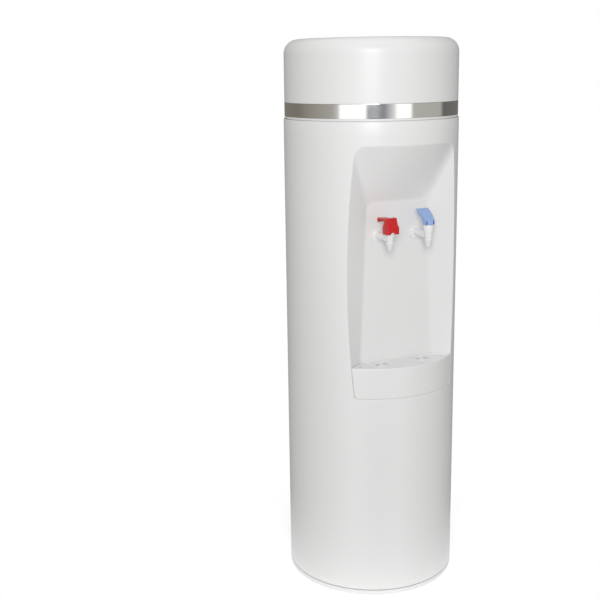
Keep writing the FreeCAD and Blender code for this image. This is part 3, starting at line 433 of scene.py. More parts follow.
ROCKER_RED = Moulded("rocker_red", (0.50, 0.02, 0.02), 0.3, grain=1100.0)
ROCKER_GREEN = Moulded("rocker_green", (0.02, 0.22, 0.06), 0.3, grain=1100.0)
FOOT_RUBBER = Soft("foot_rubber", (0.025, 0.025, 0.025), 0.8)
HOSE_SILICONE = Soft("hose_silicone", (0.68, 0.67, 0.63), 0.45, pores=900.0, depth=0.00003)
JACKET_FOAM = Soft("jacket_foam", (0.78, 0.76, 0.70), 0.85, pores=240.0, depth=0.0008)


# ---------------------------------------------------------------- mesh drafts

class Draft:
    """Vertices and faces of one piece, in millimetres."""

    def __init__(self) -> None:
        """Start empty."""
        self.points: list[Point] = []
        self.faces: list[tuple[int, ...]] = []

    def add(self, point: Sequence[float]) -> int:
        """Add a vertex and return its number."""
        self.points.append(tuple(point))
        return len(self.points) - 1

    def ring(self, points: Iterable[Sequence[float]]) -> list[int]:
        """Add a row of vertices."""
        return [self.add(point) for point in points]

    def bridge(self, first: Sequence[int], second: Sequence[int], closed: bool = True) -> None:
        """Join two rows of the same length with quads.

        Args:
            first: vertex numbers of one row.
            second: vertex numbers of the other.
            closed: whether the rows run round, so that their ends are joined too.
        """
        count = len(first)
        for index in range(count if closed else count - 1):
            following = (index + 1) % count
            self.faces.append((first[index], first[following], second[following], second[index]))

    def cap(self, ring: Sequence[int]) -> None:
        """Close a ring with one face."""
        self.faces.append(tuple(ring))

    def stack(self, rings: Sequence[Sequence[int]], closed: bool = True) -> None:
        """Join each ring to the next."""
        for first, second in zip(rings, rings[1:]):
            self.bridge(first, second, closed)

    def lathe(self, profile: Sequence[tuple[float, float]], centre: Point = (0.0, 0.0, 0.0),
              axis: str = "Z", segments: int = 64, closed: bool = False) -> None:
        """Turn a profile of (radius, height) about an axis through a centre.

        Args:
            profile: points from one end to the other; a radius of 0 makes a pole.
            centre: a point on the axis, from which heights count.
            axis: "X", "Y" or "Z".
            segments: faces round the axis.
            closed: whether the last point joins the first, for a ring-shaped piece.
        """
        rings = []
        for radius, height in profile:
            ring = []
            for index in range(segments):
                angle = math.tau * index / segments
                across, along = radius * math.cos(angle), radius * math.sin(angle)
                offset = {"X": (height, across, along), "Y": (across, height, along),
                          "Z": (across, along, height)}[axis]
                ring.append(tuple(part + shift for part, shift in zip(offset, centre)))
            rings.append(self.ring(ring))
        self.stack(rings)
        if closed:
            self.bridge(rings[-1], rings[0])

    def piece(self, name: str, finish: Finish, crease: float = CREASE) -> bpy.types.Object:
        """Make the object.

        Args:
            name: the piece's name.
            finish: its finish.
            crease: angle in degrees above which an edge stays sharp.

        Returns:
            The piece, at the origin.
        """
        mesh = bpy.data.meshes.new(name)
        mesh.from_pydata([[part * MM for part in point] for point in self.points], [], self.faces)
        return finish_mesh(mesh, name, finish, crease)


def finish_mesh(mesh: bpy.types.Mesh, name: str, finish: Finish, crease: float = CREASE) -> bpy.types.Object:
    """Weld a mesh, turn its faces outwards, shade it and make its object.

    Args:
        mesh: the mesh, in metres.
        name: the object's name.
        finish: its finish.
        crease: angle in degrees above which an edge stays sharp.

    Returns:
        The object, linked to the scene.
    """
    form = bmesh.new()
    form.from_mesh(mesh)
    bmesh.ops.remove_doubles(form, verts=form.verts, dist=WELD)
    bmesh.ops.dissolve_degenerate(form, edges=form.edges, dist=WELD / 2)
    bmesh.ops.recalc_face_normals(form, faces=form.faces)
    form.to_mesh(mesh)
    form.free()
    mesh.polygons.foreach_set("use_smooth", [True] * len(mesh.polygons))
    mesh.set_sharp_from_angle(angle=math.radians(crease))
    mesh.materials.clear()
    mesh.materials.append(finish.material())
    thing = bpy.data.objects.new(name, mesh)
    bpy.context.scene.collection.objects.link(thing)
    return thing


def settled(thing: bpy.types.Object, finish: Finish, crease: float = CREASE) -> bpy.types.Object:
    """Apply an object's modifiers by remaking it from the evaluated mesh.

    Args:
        thing: the object, which is removed.
        finish: the finish of the new one.
        crease: angle in degrees above which an edge stays sharp.

    Returns:
        The new object, with the old one's name.
    """
    depsgraph = bpy.context.evaluated_depsgraph_get()
    depsgraph.update()
    mesh = bpy.data.meshes.new_from_object(thing.evaluated_get(depsgraph), depsgraph=depsgraph)
    name = thing.name
    bpy.data.objects.remove(thing)
    mesh.name = name
    return finish_mesh(mesh, name, finish, crease)


def blank(name: str) -> bpy.types.Object:
    """Make an object with an empty mesh, for a geometry tree to fill.

    Args:
        name: the object's name.

    Returns:
        The object, linked to the scene.
    """
    holder = bpy.data.objects.new(name, bpy.data.meshes.new(name))
    bpy.context.scene.collection.objects.link(holder)
    return holder


def grown(thing: bpy.types.Object, tree: bpy.types.GeometryNodeTree, finish: Finish,
          crease: float = CREASE) -> bpy.types.Object:
    """Run a geometry tree on an object and apply it.

    Args:
        thing: the object.
        tree: the tree, whose Material input gets the finish.
        finish: the finish of the result.
        crease: angle in degrees above which an edge stays sharp.

    Returns:
        The new object, with the old one's name.
    """
    modifier = thing.modifiers.new(tree.name, "NODES")
    modifier.node_group = tree
    for item in tree.interface.items_tree:
        if item.name == "Material":
            modifier[item.identifier] = finish.material()
    return settled(thing, finish, crease)


def thickened(thing: bpy.types.Object, wall: float, offset: float, finish: Finish, crease: float
              ) -> bpy.types.Object:
    """Give a surface a wall.

    Args:
        thing: the surface.
        wall: thickness in millimetres.
        offset: 1.0 to grow along the normals, -1.0 against them.
        finish: the finish of the result.
        crease: angle in degrees above which an edge stays sharp.

    Returns:
        The closed wall, with the surface's name.
    """
    modifier = thing.modifiers.new("wall", "SOLIDIFY")
    modifier.thickness = wall * MM
    modifier.offset = offset
    return settled(thing, finish, crease)


def bevelled(thing: bpy.types.Object, width: float, finish: Finish) -> bpy.types.Object:
    """Round a piece's sharp edges.

    Args:
        thing: the piece.
        width: how far the rounding reaches, in millimetres.
        finish: the finish of the result.

    Returns:
        The rounded piece.
    """
    modifier = thing.modifiers.new("edges", "BEVEL")
    modifier.width = width * MM
    modifier.segments = 3
    modifier.limit_method = "ANGLE"
    modifier.angle_limit = math.radians(35.0)
    modifier.harden_normals = False
    return settled(thing, finish, 40.0)


def carved(thing: bpy.types.Object, tools: Sequence[bpy.types.Object], finish: Finish,
           operation: str = "DIFFERENCE") -> bpy.types.Object:
    """Cut tools out of a piece, or join them to it, and remove the tools.

    Args:
        thing: the piece.
        tools: closed forms.
        finish: the finish of the result.
        operation: "DIFFERENCE", "UNION" or "INTERSECT".

    Returns:
        The carved piece.
    """
    for tool in tools:
        modifier = thing.modifiers.new("cut", "BOOLEAN")
        modifier.operation = operation
        modifier.solver = "EXACT"
        modifier.object = tool
    made = settled(thing, finish)
    for tool in tools:
        bpy.data.objects.remove(tool)
    return made


def rounded(corners: Sequence[Point], steps: int = 5, closed: bool = False) -> list[Flat]:
    """Draw a line with arcs at its corners.

    Args:
        corners: (x, y, radius) of each corner; a radius of 0 keeps it sharp.
        steps: divisions of each arc.
        closed: whether the line returns to its start.

    Returns:
        The points along the line.
    """
    count = len(corners)
    points: list[Flat] = []
    for index, (x, y, radius) in enumerate(corners):
        if radius <= 0 or (not closed and index in (0, count - 1)):
            points.append((x, y))
            continue
        here = Vector((x, y))
        before = (Vector(corners[index - 1][:2]) - here).normalized()
        after = (Vector(corners[(index + 1) % count][:2]) - here).normalized()
        half = before.angle(after) / 2
        setback = radius / math.tan(half)
        centre = here + (before + after).normalized() * (radius / math.sin(half))
        start = here + before * setback - centre
        turn = start.angle_signed(here + after * setback - centre)
        for step in range(steps + 1):
            angle = -turn * step / steps
            spoke = Vector((start.x * math.cos(angle) - start.y * math.sin(angle),
                            start.x * math.sin(angle) + start.y * math.cos(angle)))
            points.append(tuple(centre + spoke))
    return points


def prism(name: str, corners: Sequence[Flat], axis: str, low: float, high: float, finish: Finish,
          centre: Point = (0.0, 0.0, 0.0)) -> bpy.types.Object:
    """Stretch a flat outline along an axis.

    Args:
        name: the piece's name.
        corners: the outline, in the two other axes in alphabetical order.
        axis: "X", "Y" or "Z".
        low: where the prism starts on that axis.
        high: where it ends.
        finish: its finish.
        centre: the point that all of these are measured from.

    Returns:
        The closed prism.
    """
    draft = Draft()
    rings = []
    for along in (low, high):
        spots = [{"X": (along, first, second), "Y": (first, along, second), "Z": (first, second, along)}[axis]
                 for first, second in corners]
        rings.append(draft.ring(tuple(part + shift for part, shift in zip(spot, centre)) for spot in spots))
    draft.stack(rings)
    draft.cap(rings[0])
    draft.cap(rings[1])
    return draft.piece(name, finish)


def merged(first: bpy.types.Object, others: Sequence[bpy.types.Object]) -> bpy.types.Object:
    """Put the meshes of several closed forms into one piece.

    Args:
        first: the form that stays and gives its name.
        others: the forms that go into it and are removed.

    Returns:
        The first form, with all the meshes.
    """
    form = bmesh.new()
    for thing in (first, *others):
        form.from_mesh(thing.data)
    form.to_mesh(first.data)
    form.free()
    for thing in others:
        bpy.data.objects.remove(thing)
    return first


def replace(piece: bpy.types.Object, body: str, slot: str, *nodes: str) -> None:
    """Put a piece in the place of CAD nodes.

    Args:
        piece: the piece.
        body: the body that it rides on, which is the nodes' own.
        slot: the material slot; not used.
        nodes: the CAD nodes that it stands for.
    """
    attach(piece, body)
    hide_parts(*nodes)
    faces = len(piece.data.polygons)
    log.info("%s stands for %s on %s, %d faces", piece.name, ", ".join(nodes), body, faces)


def accompany(piece: bpy.types.Object, body: str) -> None:
    """Add a piece that has no CAD node of its own.

    Args:
        piece: the piece.
        body: the body that it rides on.
    """
    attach(piece, body)
    log.info("%s added on %s, %d faces", piece.name, body, len(piece.data.polygons))


# ---------------------------------------------------------------- the recess

Station = tuple[Flat, Flat]


@dataclass(frozen=True)
class Recess:
    """The tap recess: straight rulings from a flat back wall out to an outline on the round shell."""

    radius: float = 159.0
    floor: float = 388.0
    ceiling: float = 835.0
    widest: float = 605.0
    half_arc: float = 120.4
    bow: float = 1800.0
    corner: float = 23.0
    foot: float = 4.5
    depth: float = 98.0
    wall_top: float = 735.0
    wall_half_top: float = 61.0
    wall_half_base: float = 76.6
    wall_corner: float = 11.0
    corner_steps: int = 8
    side_steps: int = 40
    level_steps: int = 20

    def shell_half(self, height: float, grow: float = 0.0) -> float:
        """Half width along the unrolled shell at a height."""
        drop = height - self.widest
        return self.half_arc + grow - (self.bow - math.sqrt(self.bow ** 2 - drop ** 2))

    def wall_half(self, height: float, grow: float = 0.0) -> float:
        """Half width of the flat back wall at a height."""
        lean = (self.wall_half_base - self.wall_half_top) / (self.wall_top - self.floor)
        return self.wall_half_top + grow + lean * (self.wall_top - height)

    def stations(self, grow_front: float = 0.0, grow_back: float = 0.0) -> list[Station]:
        """Matching points of the shell's outline and of the back wall's outline.

        Args:
            grow_front: how far the shell's outline is offset outwards.
            grow_back: how far the back wall's outline is offset outwards.

        Returns:
            Pairs ((arc, height), (across, height)), from the lower left corner's middle, anticlockwise.
        """
        foot = self.foot + grow_front
        corner = self.corner + grow_front
        inner = self.wall_corner + grow_back
        low_front, high_front = self.floor - grow_front + foot, self.ceiling + grow_front - corner
        low_back, high_back = self.floor - grow_back + inner, self.wall_top + grow_back - inner

        def arc(x: float, z: float, size: float, start: float, share: float) -> Flat:
            """A point a share of the way along a quarter circle."""
            angle = math.radians(start + 90.0 * share)
            return x + size * math.cos(angle), z + size * math.sin(angle)

        def sill(share: float) -> Station:
            """Lower edge, left to right."""
            across = 2.0 * share - 1.0
            return (((self.shell_half(low_front, grow_front) - foot) * across, self.floor - grow_front),
                    ((self.wall_half(low_back, grow_back) - inner) * across, self.floor - grow_back))

        def lower(share: float) -> Station:
            """Lower right corner."""
            return (arc(self.shell_half(low_front, grow_front) - foot, low_front, foot, -90.0, share),
                    arc(self.wall_half(low_back, grow_back) - inner, low_back, inner, -90.0, share))

        def side(share: float) -> Station:
            """Right edge, upwards."""
            front = low_front + (high_front - low_front) * share
            back = low_back + (high_back - low_back) * share
            return (self.shell_half(front, grow_front), front), (self.wall_half(back, grow_back), back)

        def upper(share: float) -> Station:
            """Upper right corner."""
            return (arc(self.shell_half(high_front, grow_front) - corner, high_front, corner, 0.0, share),
                    arc(self.wall_half(high_back, grow_back) - inner, high_back, inner, 0.0, share))

        def top(share: float) -> Station:
            """Upper edge, right to left."""
            across = 1.0 - 2.0 * share
            return (((self.shell_half(high_front, grow_front) - corner) * across, self.ceiling + grow_front),
                    ((self.wall_half(high_back, grow_back) - inner) * across, self.wall_top + grow_back))

        def mirrored(edge: Callable[[float], Station]) -> Callable[[float], Station]:
            """Turn an edge into the same edge on the left, run the other way.

            Args:
                edge: gives a station for a share of the way along it.

            Returns:
                The same for the mirrored edge.
            """
            def swapped(share: float) -> Station:
                """A point of the mirrored edge."""
                (front_x, front_z), (back_x, back_z) = edge(1.0 - share)
                return (-front_x, front_z), (-back_x, back_z)
            return swapped

        counts = (self.level_steps, self.corner_steps, self.side_steps, self.corner_steps)
        edges = (sill, lower, side, upper, top, mirrored(upper), mirrored(side), mirrored(lower))
        found = [edge(step / count) for edge, count in zip(edges, counts * 2) for step in range(count)]
        shift = self.corner_steps // 2
        return found[-shift:] + found[:-shift]

    @staticmethod
    def on_shell(radius: float, arc_angle: float, height: float) -> Vector:
        """A point at an angle from the front on an upright cylinder."""
        return Vector((radius * math.sin(arc_angle), -radius * math.cos(arc_angle), height))

    def front_point(self, station: Station) -> Vector:
        """The station's point on the shell's outer surface."""
        (arc, height), _ = station
        return self.on_shell(self.radius, arc / self.radius, height)

    def back_point(self, station: Station) -> Vector:
        """The station's point on the back wall."""
        _, (across, height) = station
        return Vector((across, -self.depth, height))

    def at_radius(self, station: Station, radius: float) -> Vector:
        """Find where the station's ruling meets an upright cylinder.

        Args:
            station: the station.
            radius: the cylinder's radius.

        Returns:
            The point.
        """
        back, front = self.back_point(station), self.front_point(station)
        step = front - back
        a = step.x ** 2 + step.y ** 2
        b = 2.0 * (back.x * step.x + back.y * step.y)
        c = back.x ** 2 + back.y ** 2 - radius ** 2
        share = (-b + math.sqrt(b * b - 4.0 * a * c)) / (2.0 * a)
        return back + step * share


def curve_through(start: Vector, corner: Vector, end: Vector, steps: int) -> list[Vector]:
    """Draw a quadratic curve from start to end that a corner pulls.

    Args:
        start: first point.
        corner: the point that the end tangents meet in.
        end: last point.
        steps: divisions of the curve.

    Returns:
        The points, one more than the steps.
    """
    points = []
    for step in range(steps + 1):
        share = step / steps
        points.append(start * (1 - share) ** 2 + corner * (2 * share * (1 - share)) + end * share ** 2)
    return points


# ---------------------------------------------------------------- tower

@dataclass
class Tower:
    """Shell, recess liner, base ring and feet."""

    recess: Recess = field(default_factory=Recess)
    wall: float = 3.0
    low: float = 14.2
    high: float = 876.0
    frame_half: float = 135.0
    frame_low: float = 372.0
    rear_low: float = 36.0
    rear_high: float = 850.0
    rear_half: float = 80.0
    edge: float = 1.3
    lip: float = 1.1
    soften: float = 3.5
    liner_wall: float = 2.0
    wall_middle: float = 560.0
    wall_border: float = 0.12
    side_columns: int = 36
    rear_columns: int = 24
    lower_rows: int = 12
    lip_steps: int = 4
    lead_in: tuple[float, ...] = (0.35, 0.7, 0.9)
    splay_steps: int = 8
    soften_steps: int = 5

    def columns(self) -> list[float]:
        """Place the grid's columns, closer where the recess mouth needs them.

        Returns:
            Their angles from the front, anticlockwise seen from above.
        """
        recess = self.recess
        front_count = recess.level_steps + recess.corner_steps
        front = self.frame_half / recess.radius
        rear = math.pi - math.asin(self.rear_half / recess.radius)
        angles = [-front + 2 * front * step / front_count for step in range(front_count)]
        angles += [front + (rear - front) * step / self.side_columns for step in range(self.side_columns)]
        gap = 2 * (math.pi - rear)
        angles += [rear + gap * step / self.rear_columns for step in range(self.rear_columns)]
        after = rear + gap
        angles += [after + (rear - front) * step / self.side_columns for step in range(self.side_columns)]
        return angles

    def rows(self) -> list[Flat]:
        """Place the grid's rows.

        Returns:
            Their heights, each with how far the rounding of the end edges pulls it in.
        """
        steps = self.recess.side_steps + self.recess.corner_steps
        rows = [(self.low, self.edge), (self.low + self.edge * 0.13, self.edge * 0.5),
                (self.low + self.edge * 0.5, self.edge * 0.13), (self.low + self.edge, 0.0)]
        rows += [(self.rear_low, 0.0)]
        rows += [(self.rear_low + (self.frame_low - self.rear_low) * step / self.lower_rows, 0.0)
                 for step in range(1, self.lower_rows)]
        rows += [(self.frame_low + (self.rear_high - self.frame_low) * step / steps, 0.0)
                 for step in range(steps + 1)]
        rows += [(self.high - self.edge, 0.0), (self.high - self.edge * 0.5, self.edge * 0.13),
                 (self.high - self.edge * 0.13, self.edge * 0.5), (self.high, self.edge)]
        return rows

    def shell(self) -> bpy.types.Object:
        """Make an outer and an inner skin on one grid, with the recess mouth and the rear opening.

        Returns:
            The shell.
        """
        recess = self.recess
        draft = Draft()
        columns, rows = self.columns(), self.rows()
        count = len(columns)
        front_columns = recess.level_steps + recess.corner_steps
        low_row = next(index for index, (height, _) in enumerate(rows) if height >= self.frame_low - 1e-6)
        high_row = low_row + recess.side_steps + recess.corner_steps
        rear_row = next(index for index, (height, _) in enumerate(rows) if height >= self.rear_low - 1e-6)
        rear_first = front_columns + self.side_columns
        rear_last = rear_first + self.rear_columns

        def in_mouth(row: int, column: int) -> bool:
            """Whether a cell of the grid belongs to the recess mouth."""
            return low_row <= row < high_row and column < front_columns

        def in_rear(row: int, column: int) -> bool:
            """Whether a cell of the grid belongs to the rear opening."""
            return rear_row <= row < high_row and rear_first <= column < rear_last

        def frame_ring(at: Callable[[int, int], int]) -> list[int]:
            """Go round the mouth on the grid.

            Args:
                at: gives a skin's vertex for a row and a column.

            Returns:
                Vertex numbers, in the order of the recess stations.
            """
            bottom = [at(low_row, column) for column in range(front_columns)]
            right = [at(row, front_columns) for row in range(low_row, high_row)]
            top = [at(high_row, column) for column in range(front_columns, 0, -1)]
            left = [at(row, 0) for row in range(high_row, low_row, -1)]
            return bottom + right + top + left

        skins = []
        for outside in (True, False):
            known: dict[tuple[int, int], int] = {}

            def at(row: int, column: int) -> int:
                """Find the vertex of one crossing of this skin, and add it when it is first asked for.

                Args:
                    row: number of the row.
                    column: number of the column, counted on past the last.

                Returns:
                    The vertex number.
                """
                key = (row, column % count)
                if key not in known:
                    height, pull = rows[row]
                    radius = recess.radius - pull if outside else recess.radius - self.wall
                    known[key] = draft.add(recess.on_shell(radius, columns[key[1]], height))
                return known[key]

            for row in range(len(rows) - 1):
                for column in range(count):
                    if in_mouth(row, column) or in_rear(row, column):
                        continue
                    draft.faces.append((at(row, column), at(row, column + 1),
                                        at(row + 1, column + 1), at(row + 1, column)))
            skins.append((at, frame_ring(at)))
        (outer, outer_frame), (inner, inner_frame) = skins
        for row in (0, len(rows) - 1):
            draft.bridge([outer(row, column) for column in range(count)],
                         [inner(row, column) for column in range(count)])
        loop = [(rear_row, column) for column in range(rear_first, rear_last)]
        loop += [(row, rear_last) for row in range(rear_row, high_row)]
        loop += [(high_row, column) for column in range(rear_last, rear_first, -1)]
        loop += [(row, rear_first) for row in range(high_row, rear_row, -1)]
        draft.bridge([outer(*key) for key in loop], [inner(*key) for key in loop])

        frame_points = [Vector(draft.points[index]) for index in outer_frame]
        rings = [outer_frame, *self.mouth_rings(draft, frame_points)]
        draft.stack(rings)
        draft.bridge(rings[-1], inner_frame)
        return draft.piece("tower_shell", SHELL_WHITE, 50.0)

    def mouth_rings(self, draft: Draft, frame_points: Sequence[Vector]) -> list[list[int]]:
        """Lead the shell's face over the rolled lip of the mouth to the inner skin.

        Args:
            draft: the shell's draft.
            frame_points: the grid's points round the mouth, in the order of the recess stations.

        Returns:
            Rings of vertex numbers, from the face to the inner edge of the mouth.
        """
        recess = self.recess
        inner_radius = recess.radius - self.wall
        stations = recess.stations()
        lips = []
        for station, wide in zip(stations, recess.stations(grow_front=self.lip)):
            corner = recess.front_point(station)
            into = (recess.at_radius(station, inner_radius) - corner).normalized()
            edge_point = recess.front_point(wide)
            lips.append(curve_through(edge_point, corner, corner + into * self.lip, self.lip_steps))
        rings = []
        for share in self.lead_in:
            ring = []
            for frame_point, line in zip(frame_points, lips):
                middle = frame_point.lerp(line[0], share)
                ring.append(recess.on_shell(recess.radius, math.atan2(middle.x, -middle.y), middle.z))
            rings.append(draft.ring(ring))
        rings += [draft.ring(line[step] for line in lips) for step in range(self.lip_steps + 1)]
        rings.append(draft.ring(recess.at_radius(station, inner_radius) for station in stations))
        return rings

    def liner(self) -> bpy.types.Object:
        """Make the recess behind the shell's mouth: splayed sides, steep ceiling and flat back wall.

        Returns:
            The liner.
        """
        recess, soften = self.recess, self.soften
        stations = recess.stations()
        inward = [recess.back_point(station) for station in recess.stations(grow_back=-soften)]
        centre = Vector((0.0, -recess.depth, self.wall_middle))
        draft = Draft()
        lines = []
        for station, inset in zip(stations, inward):
            mouth = recess.at_radius(station, recess.radius - self.wall)
            back = recess.back_point(station)
            run = back - mouth
            near = back - run.normalized() * soften
            line = [mouth.lerp(near, step / self.splay_steps) for step in range(self.splay_steps)]
            line += curve_through(near, back, inset, self.soften_steps)
            line.append(inset.lerp(centre, self.wall_border))
            lines.append(line)
        rings = [draft.ring(line[step] for line in lines) for step in range(len(lines[0]))]
        draft.stack(rings)
        draft.cap(rings[-1])
        liner = draft.piece("recess_liner_skin", LINER_WHITE, 60.0)
        backwards = -1.0 if liner.data.polygons[-1].normal.y < 0 else 1.0
        return thickened(liner, self.liner_wall, backwards, LINER_WHITE, 60.0)

    def base_ring(self) -> bpy.types.Object:
        """Turn the base ring, with its rounded foot and the spigot inside the shell.

        Returns:
            The ring.
        """
        profile = rounded([(137.0, 2.0, 0.8), (159.0, 2.0, 5.0), (159.0, 13.0, 0.8), (155.6, 13.0, 0.0),
                           (155.6, 22.0, 0.5), (152.6, 22.0, 0.5), (152.6, 13.0, 0.0), (137.0, 13.0, 0.8)],
                          closed=True)
        draft = Draft()
        draft.lathe(profile, segments=192, closed=True)
        return draft.piece("base_ring_skin", SHELL_WHITE)

    def feet(self) -> None:
        """Make four rubber feet with two grooves in the tread, each where its CAD node is."""
        profile = [(0.0, 0.0, 0.0)]
        for groove in (4.0, 9.0):
            profile += [(groove, 0.0, 0.0), (groove + 0.6, 0.8, 0.0), (groove + 1.8, 0.8, 0.0),
                        (groove + 2.4, 0.0, 0.0)]
        profile += [(14.0, 0.0, 1.2), (16.0, 4.0, 1.0), (16.0, 13.0, 0.4), (0.0, 13.0, 0.0)]
        for node in FEET:
            low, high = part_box(node)
            centre = ((low.x + high.x) / 2 / MM, (low.y + high.y) / 2 / MM, 0.0)
            draft = Draft()
            draft.lathe(rounded(profile), centre, segments=48)
            replace(draft.piece(f"{node}_tread", FOOT_RUBBER), "tower", "rubber_black", node)

    def build(self) -> None:
        """Make the tower's pieces and put them on its body."""
        replace(self.shell(), "tower", "white_shell", "body_shell")
        replace(self.liner(), "tower", "white_shell", "recess_liner")
        replace(self.base_ring(), "tower", "white_shell", "base_ring")
        self.feet()


# ---------------------------------------------------------------- crown

@dataclass
class Crown:
    """Stainless band and the lift-off lid above it."""

    radius: float = 157.2
    band_low: float = 880.5
    band_high: float = 905.1
    band_wall: float = 1.5
    lid_low: float = 905.4
    lid_high: float = 1016.0
    shoulder: float = 25.0
    lid_wall: float = 3.0
    crown: float = 1.2
    rim_inset: float = 3.6
    rim_wall: float = 2.4
    dome_columns: int = 224
    dome_rows: int = 72

    def band(self) -> bpy.types.Object:
        """Turn the thin polished band, with rolled edges and a flat between them.

        Returns:
            The band.
        """
        inner, outer, low, high = self.radius - self.band_wall, self.radius, self.band_low, self.band_high
        profile = rounded([(inner, low, 0.4), (outer, low, 0.5), (outer, low + 0.8, 0.0),
                           (outer, low + 1.2, 0.0), (outer, high - 1.2, 0.0), (outer, high - 0.8, 0.0),
                           (outer, high, 0.5), (inner, high, 0.4)], 4, closed=True)
        draft = Draft()
        draft.lathe(profile, segments=256, closed=True)
        return draft.piece("trim_band_steel", BAND_STEEL)

    def dome_tree(self) -> bpy.types.GeometryNodeTree:
        """Wrap a grid into a straight side, a round shoulder and a slightly crowned top.

        Returns:
            The tree.
        """
        sizes = {"Radius": self.radius * MM, "Base": self.lid_low * MM, "Top": self.lid_high * MM,
                 "Shoulder": self.shoulder * MM, "Crown": self.crown * MM}
        graph, entry = Graph.grower("lid_dome", sizes)
        radius, base, top, shoulder, crown = (entry[name] for name in sizes)
        grid = graph.node("GeometryNodeMeshGrid", Size_X=1.0, Size_Y=1.0, Vertices_X=self.dome_columns + 1,
                          Vertices_Y=self.dome_rows + 1)
        place = graph.node("GeometryNodeInputPosition")
        split = graph.node("ShaderNodeSeparateXYZ", Vector=place)
        across = split + 0.5
        along = Signal(graph, split.socket.node.outputs[1]) + 0.5
        side = top - base - shoulder - crown
        quarter = shoulder * (math.pi / 2)
        flat = radius - shoulder
        travel = along * (side + quarter + flat)
        straight = graph.math("MINIMUM", travel, side)
        turn = graph.math("MINIMUM", graph.math("MAXIMUM", (travel - side) / shoulder, 0.0), math.pi / 2)
        inward = graph.math("MAXIMUM", travel - side - quarter, 0.0)
        reach = flat + shoulder * graph.math("COSINE", turn) - inward
        share = inward / flat
        height = base + straight + shoulder * graph.math("SINE", turn) + crown * (share * (2.0 - share))
        angle = across * math.tau
        spot = graph.node("ShaderNodeCombineXYZ", X=reach * graph.math("COSINE", angle),
                          Y=reach * graph.math("SINE", angle), Z=height)
        moved = graph.node("GeometryNodeSetPosition", Geometry=grid, Position=spot)
        welded = graph.node("GeometryNodeMergeByDistance", Geometry=moved, Distance=0.00002)
        return graph.grown(welded, entry["Material"])

    def lid(self) -> bpy.types.Object:
        """Thicken the dome and join the locating rim inside it.

        Returns:
            The lid.
        """
        dome = grown(blank("lid_skin"), self.dome_tree(), LID_WHITE, 40.0)
        dome = thickened(dome, self.lid_wall, -1.0, LID_WHITE, 40.0)
        outer = self.radius - self.band_wall - self.rim_inset
        inner, ledge, low = outer - self.rim_wall, self.radius - 2.2, self.lid_low
        draft = Draft()
        draft.lathe([(inner, low - 8.0), (outer, low - 8.0), (outer, low + 0.2), (ledge, low + 0.2),
                     (ledge, low + 4.0), (inner, low + 4.0)], segments=self.dome_columns, closed=True)
        return carved(dome, [draft.piece("lid_rim", LID_WHITE)], LID_WHITE, "UNION")

    def build(self) -> None:
        """Make the band and the lid."""
        replace(self.band(), "tower", "stainless", "trim_band")
        replace(self.lid(), "lid", "white_shell", "lid")


# ---------------------------------------------------------------- drip tray

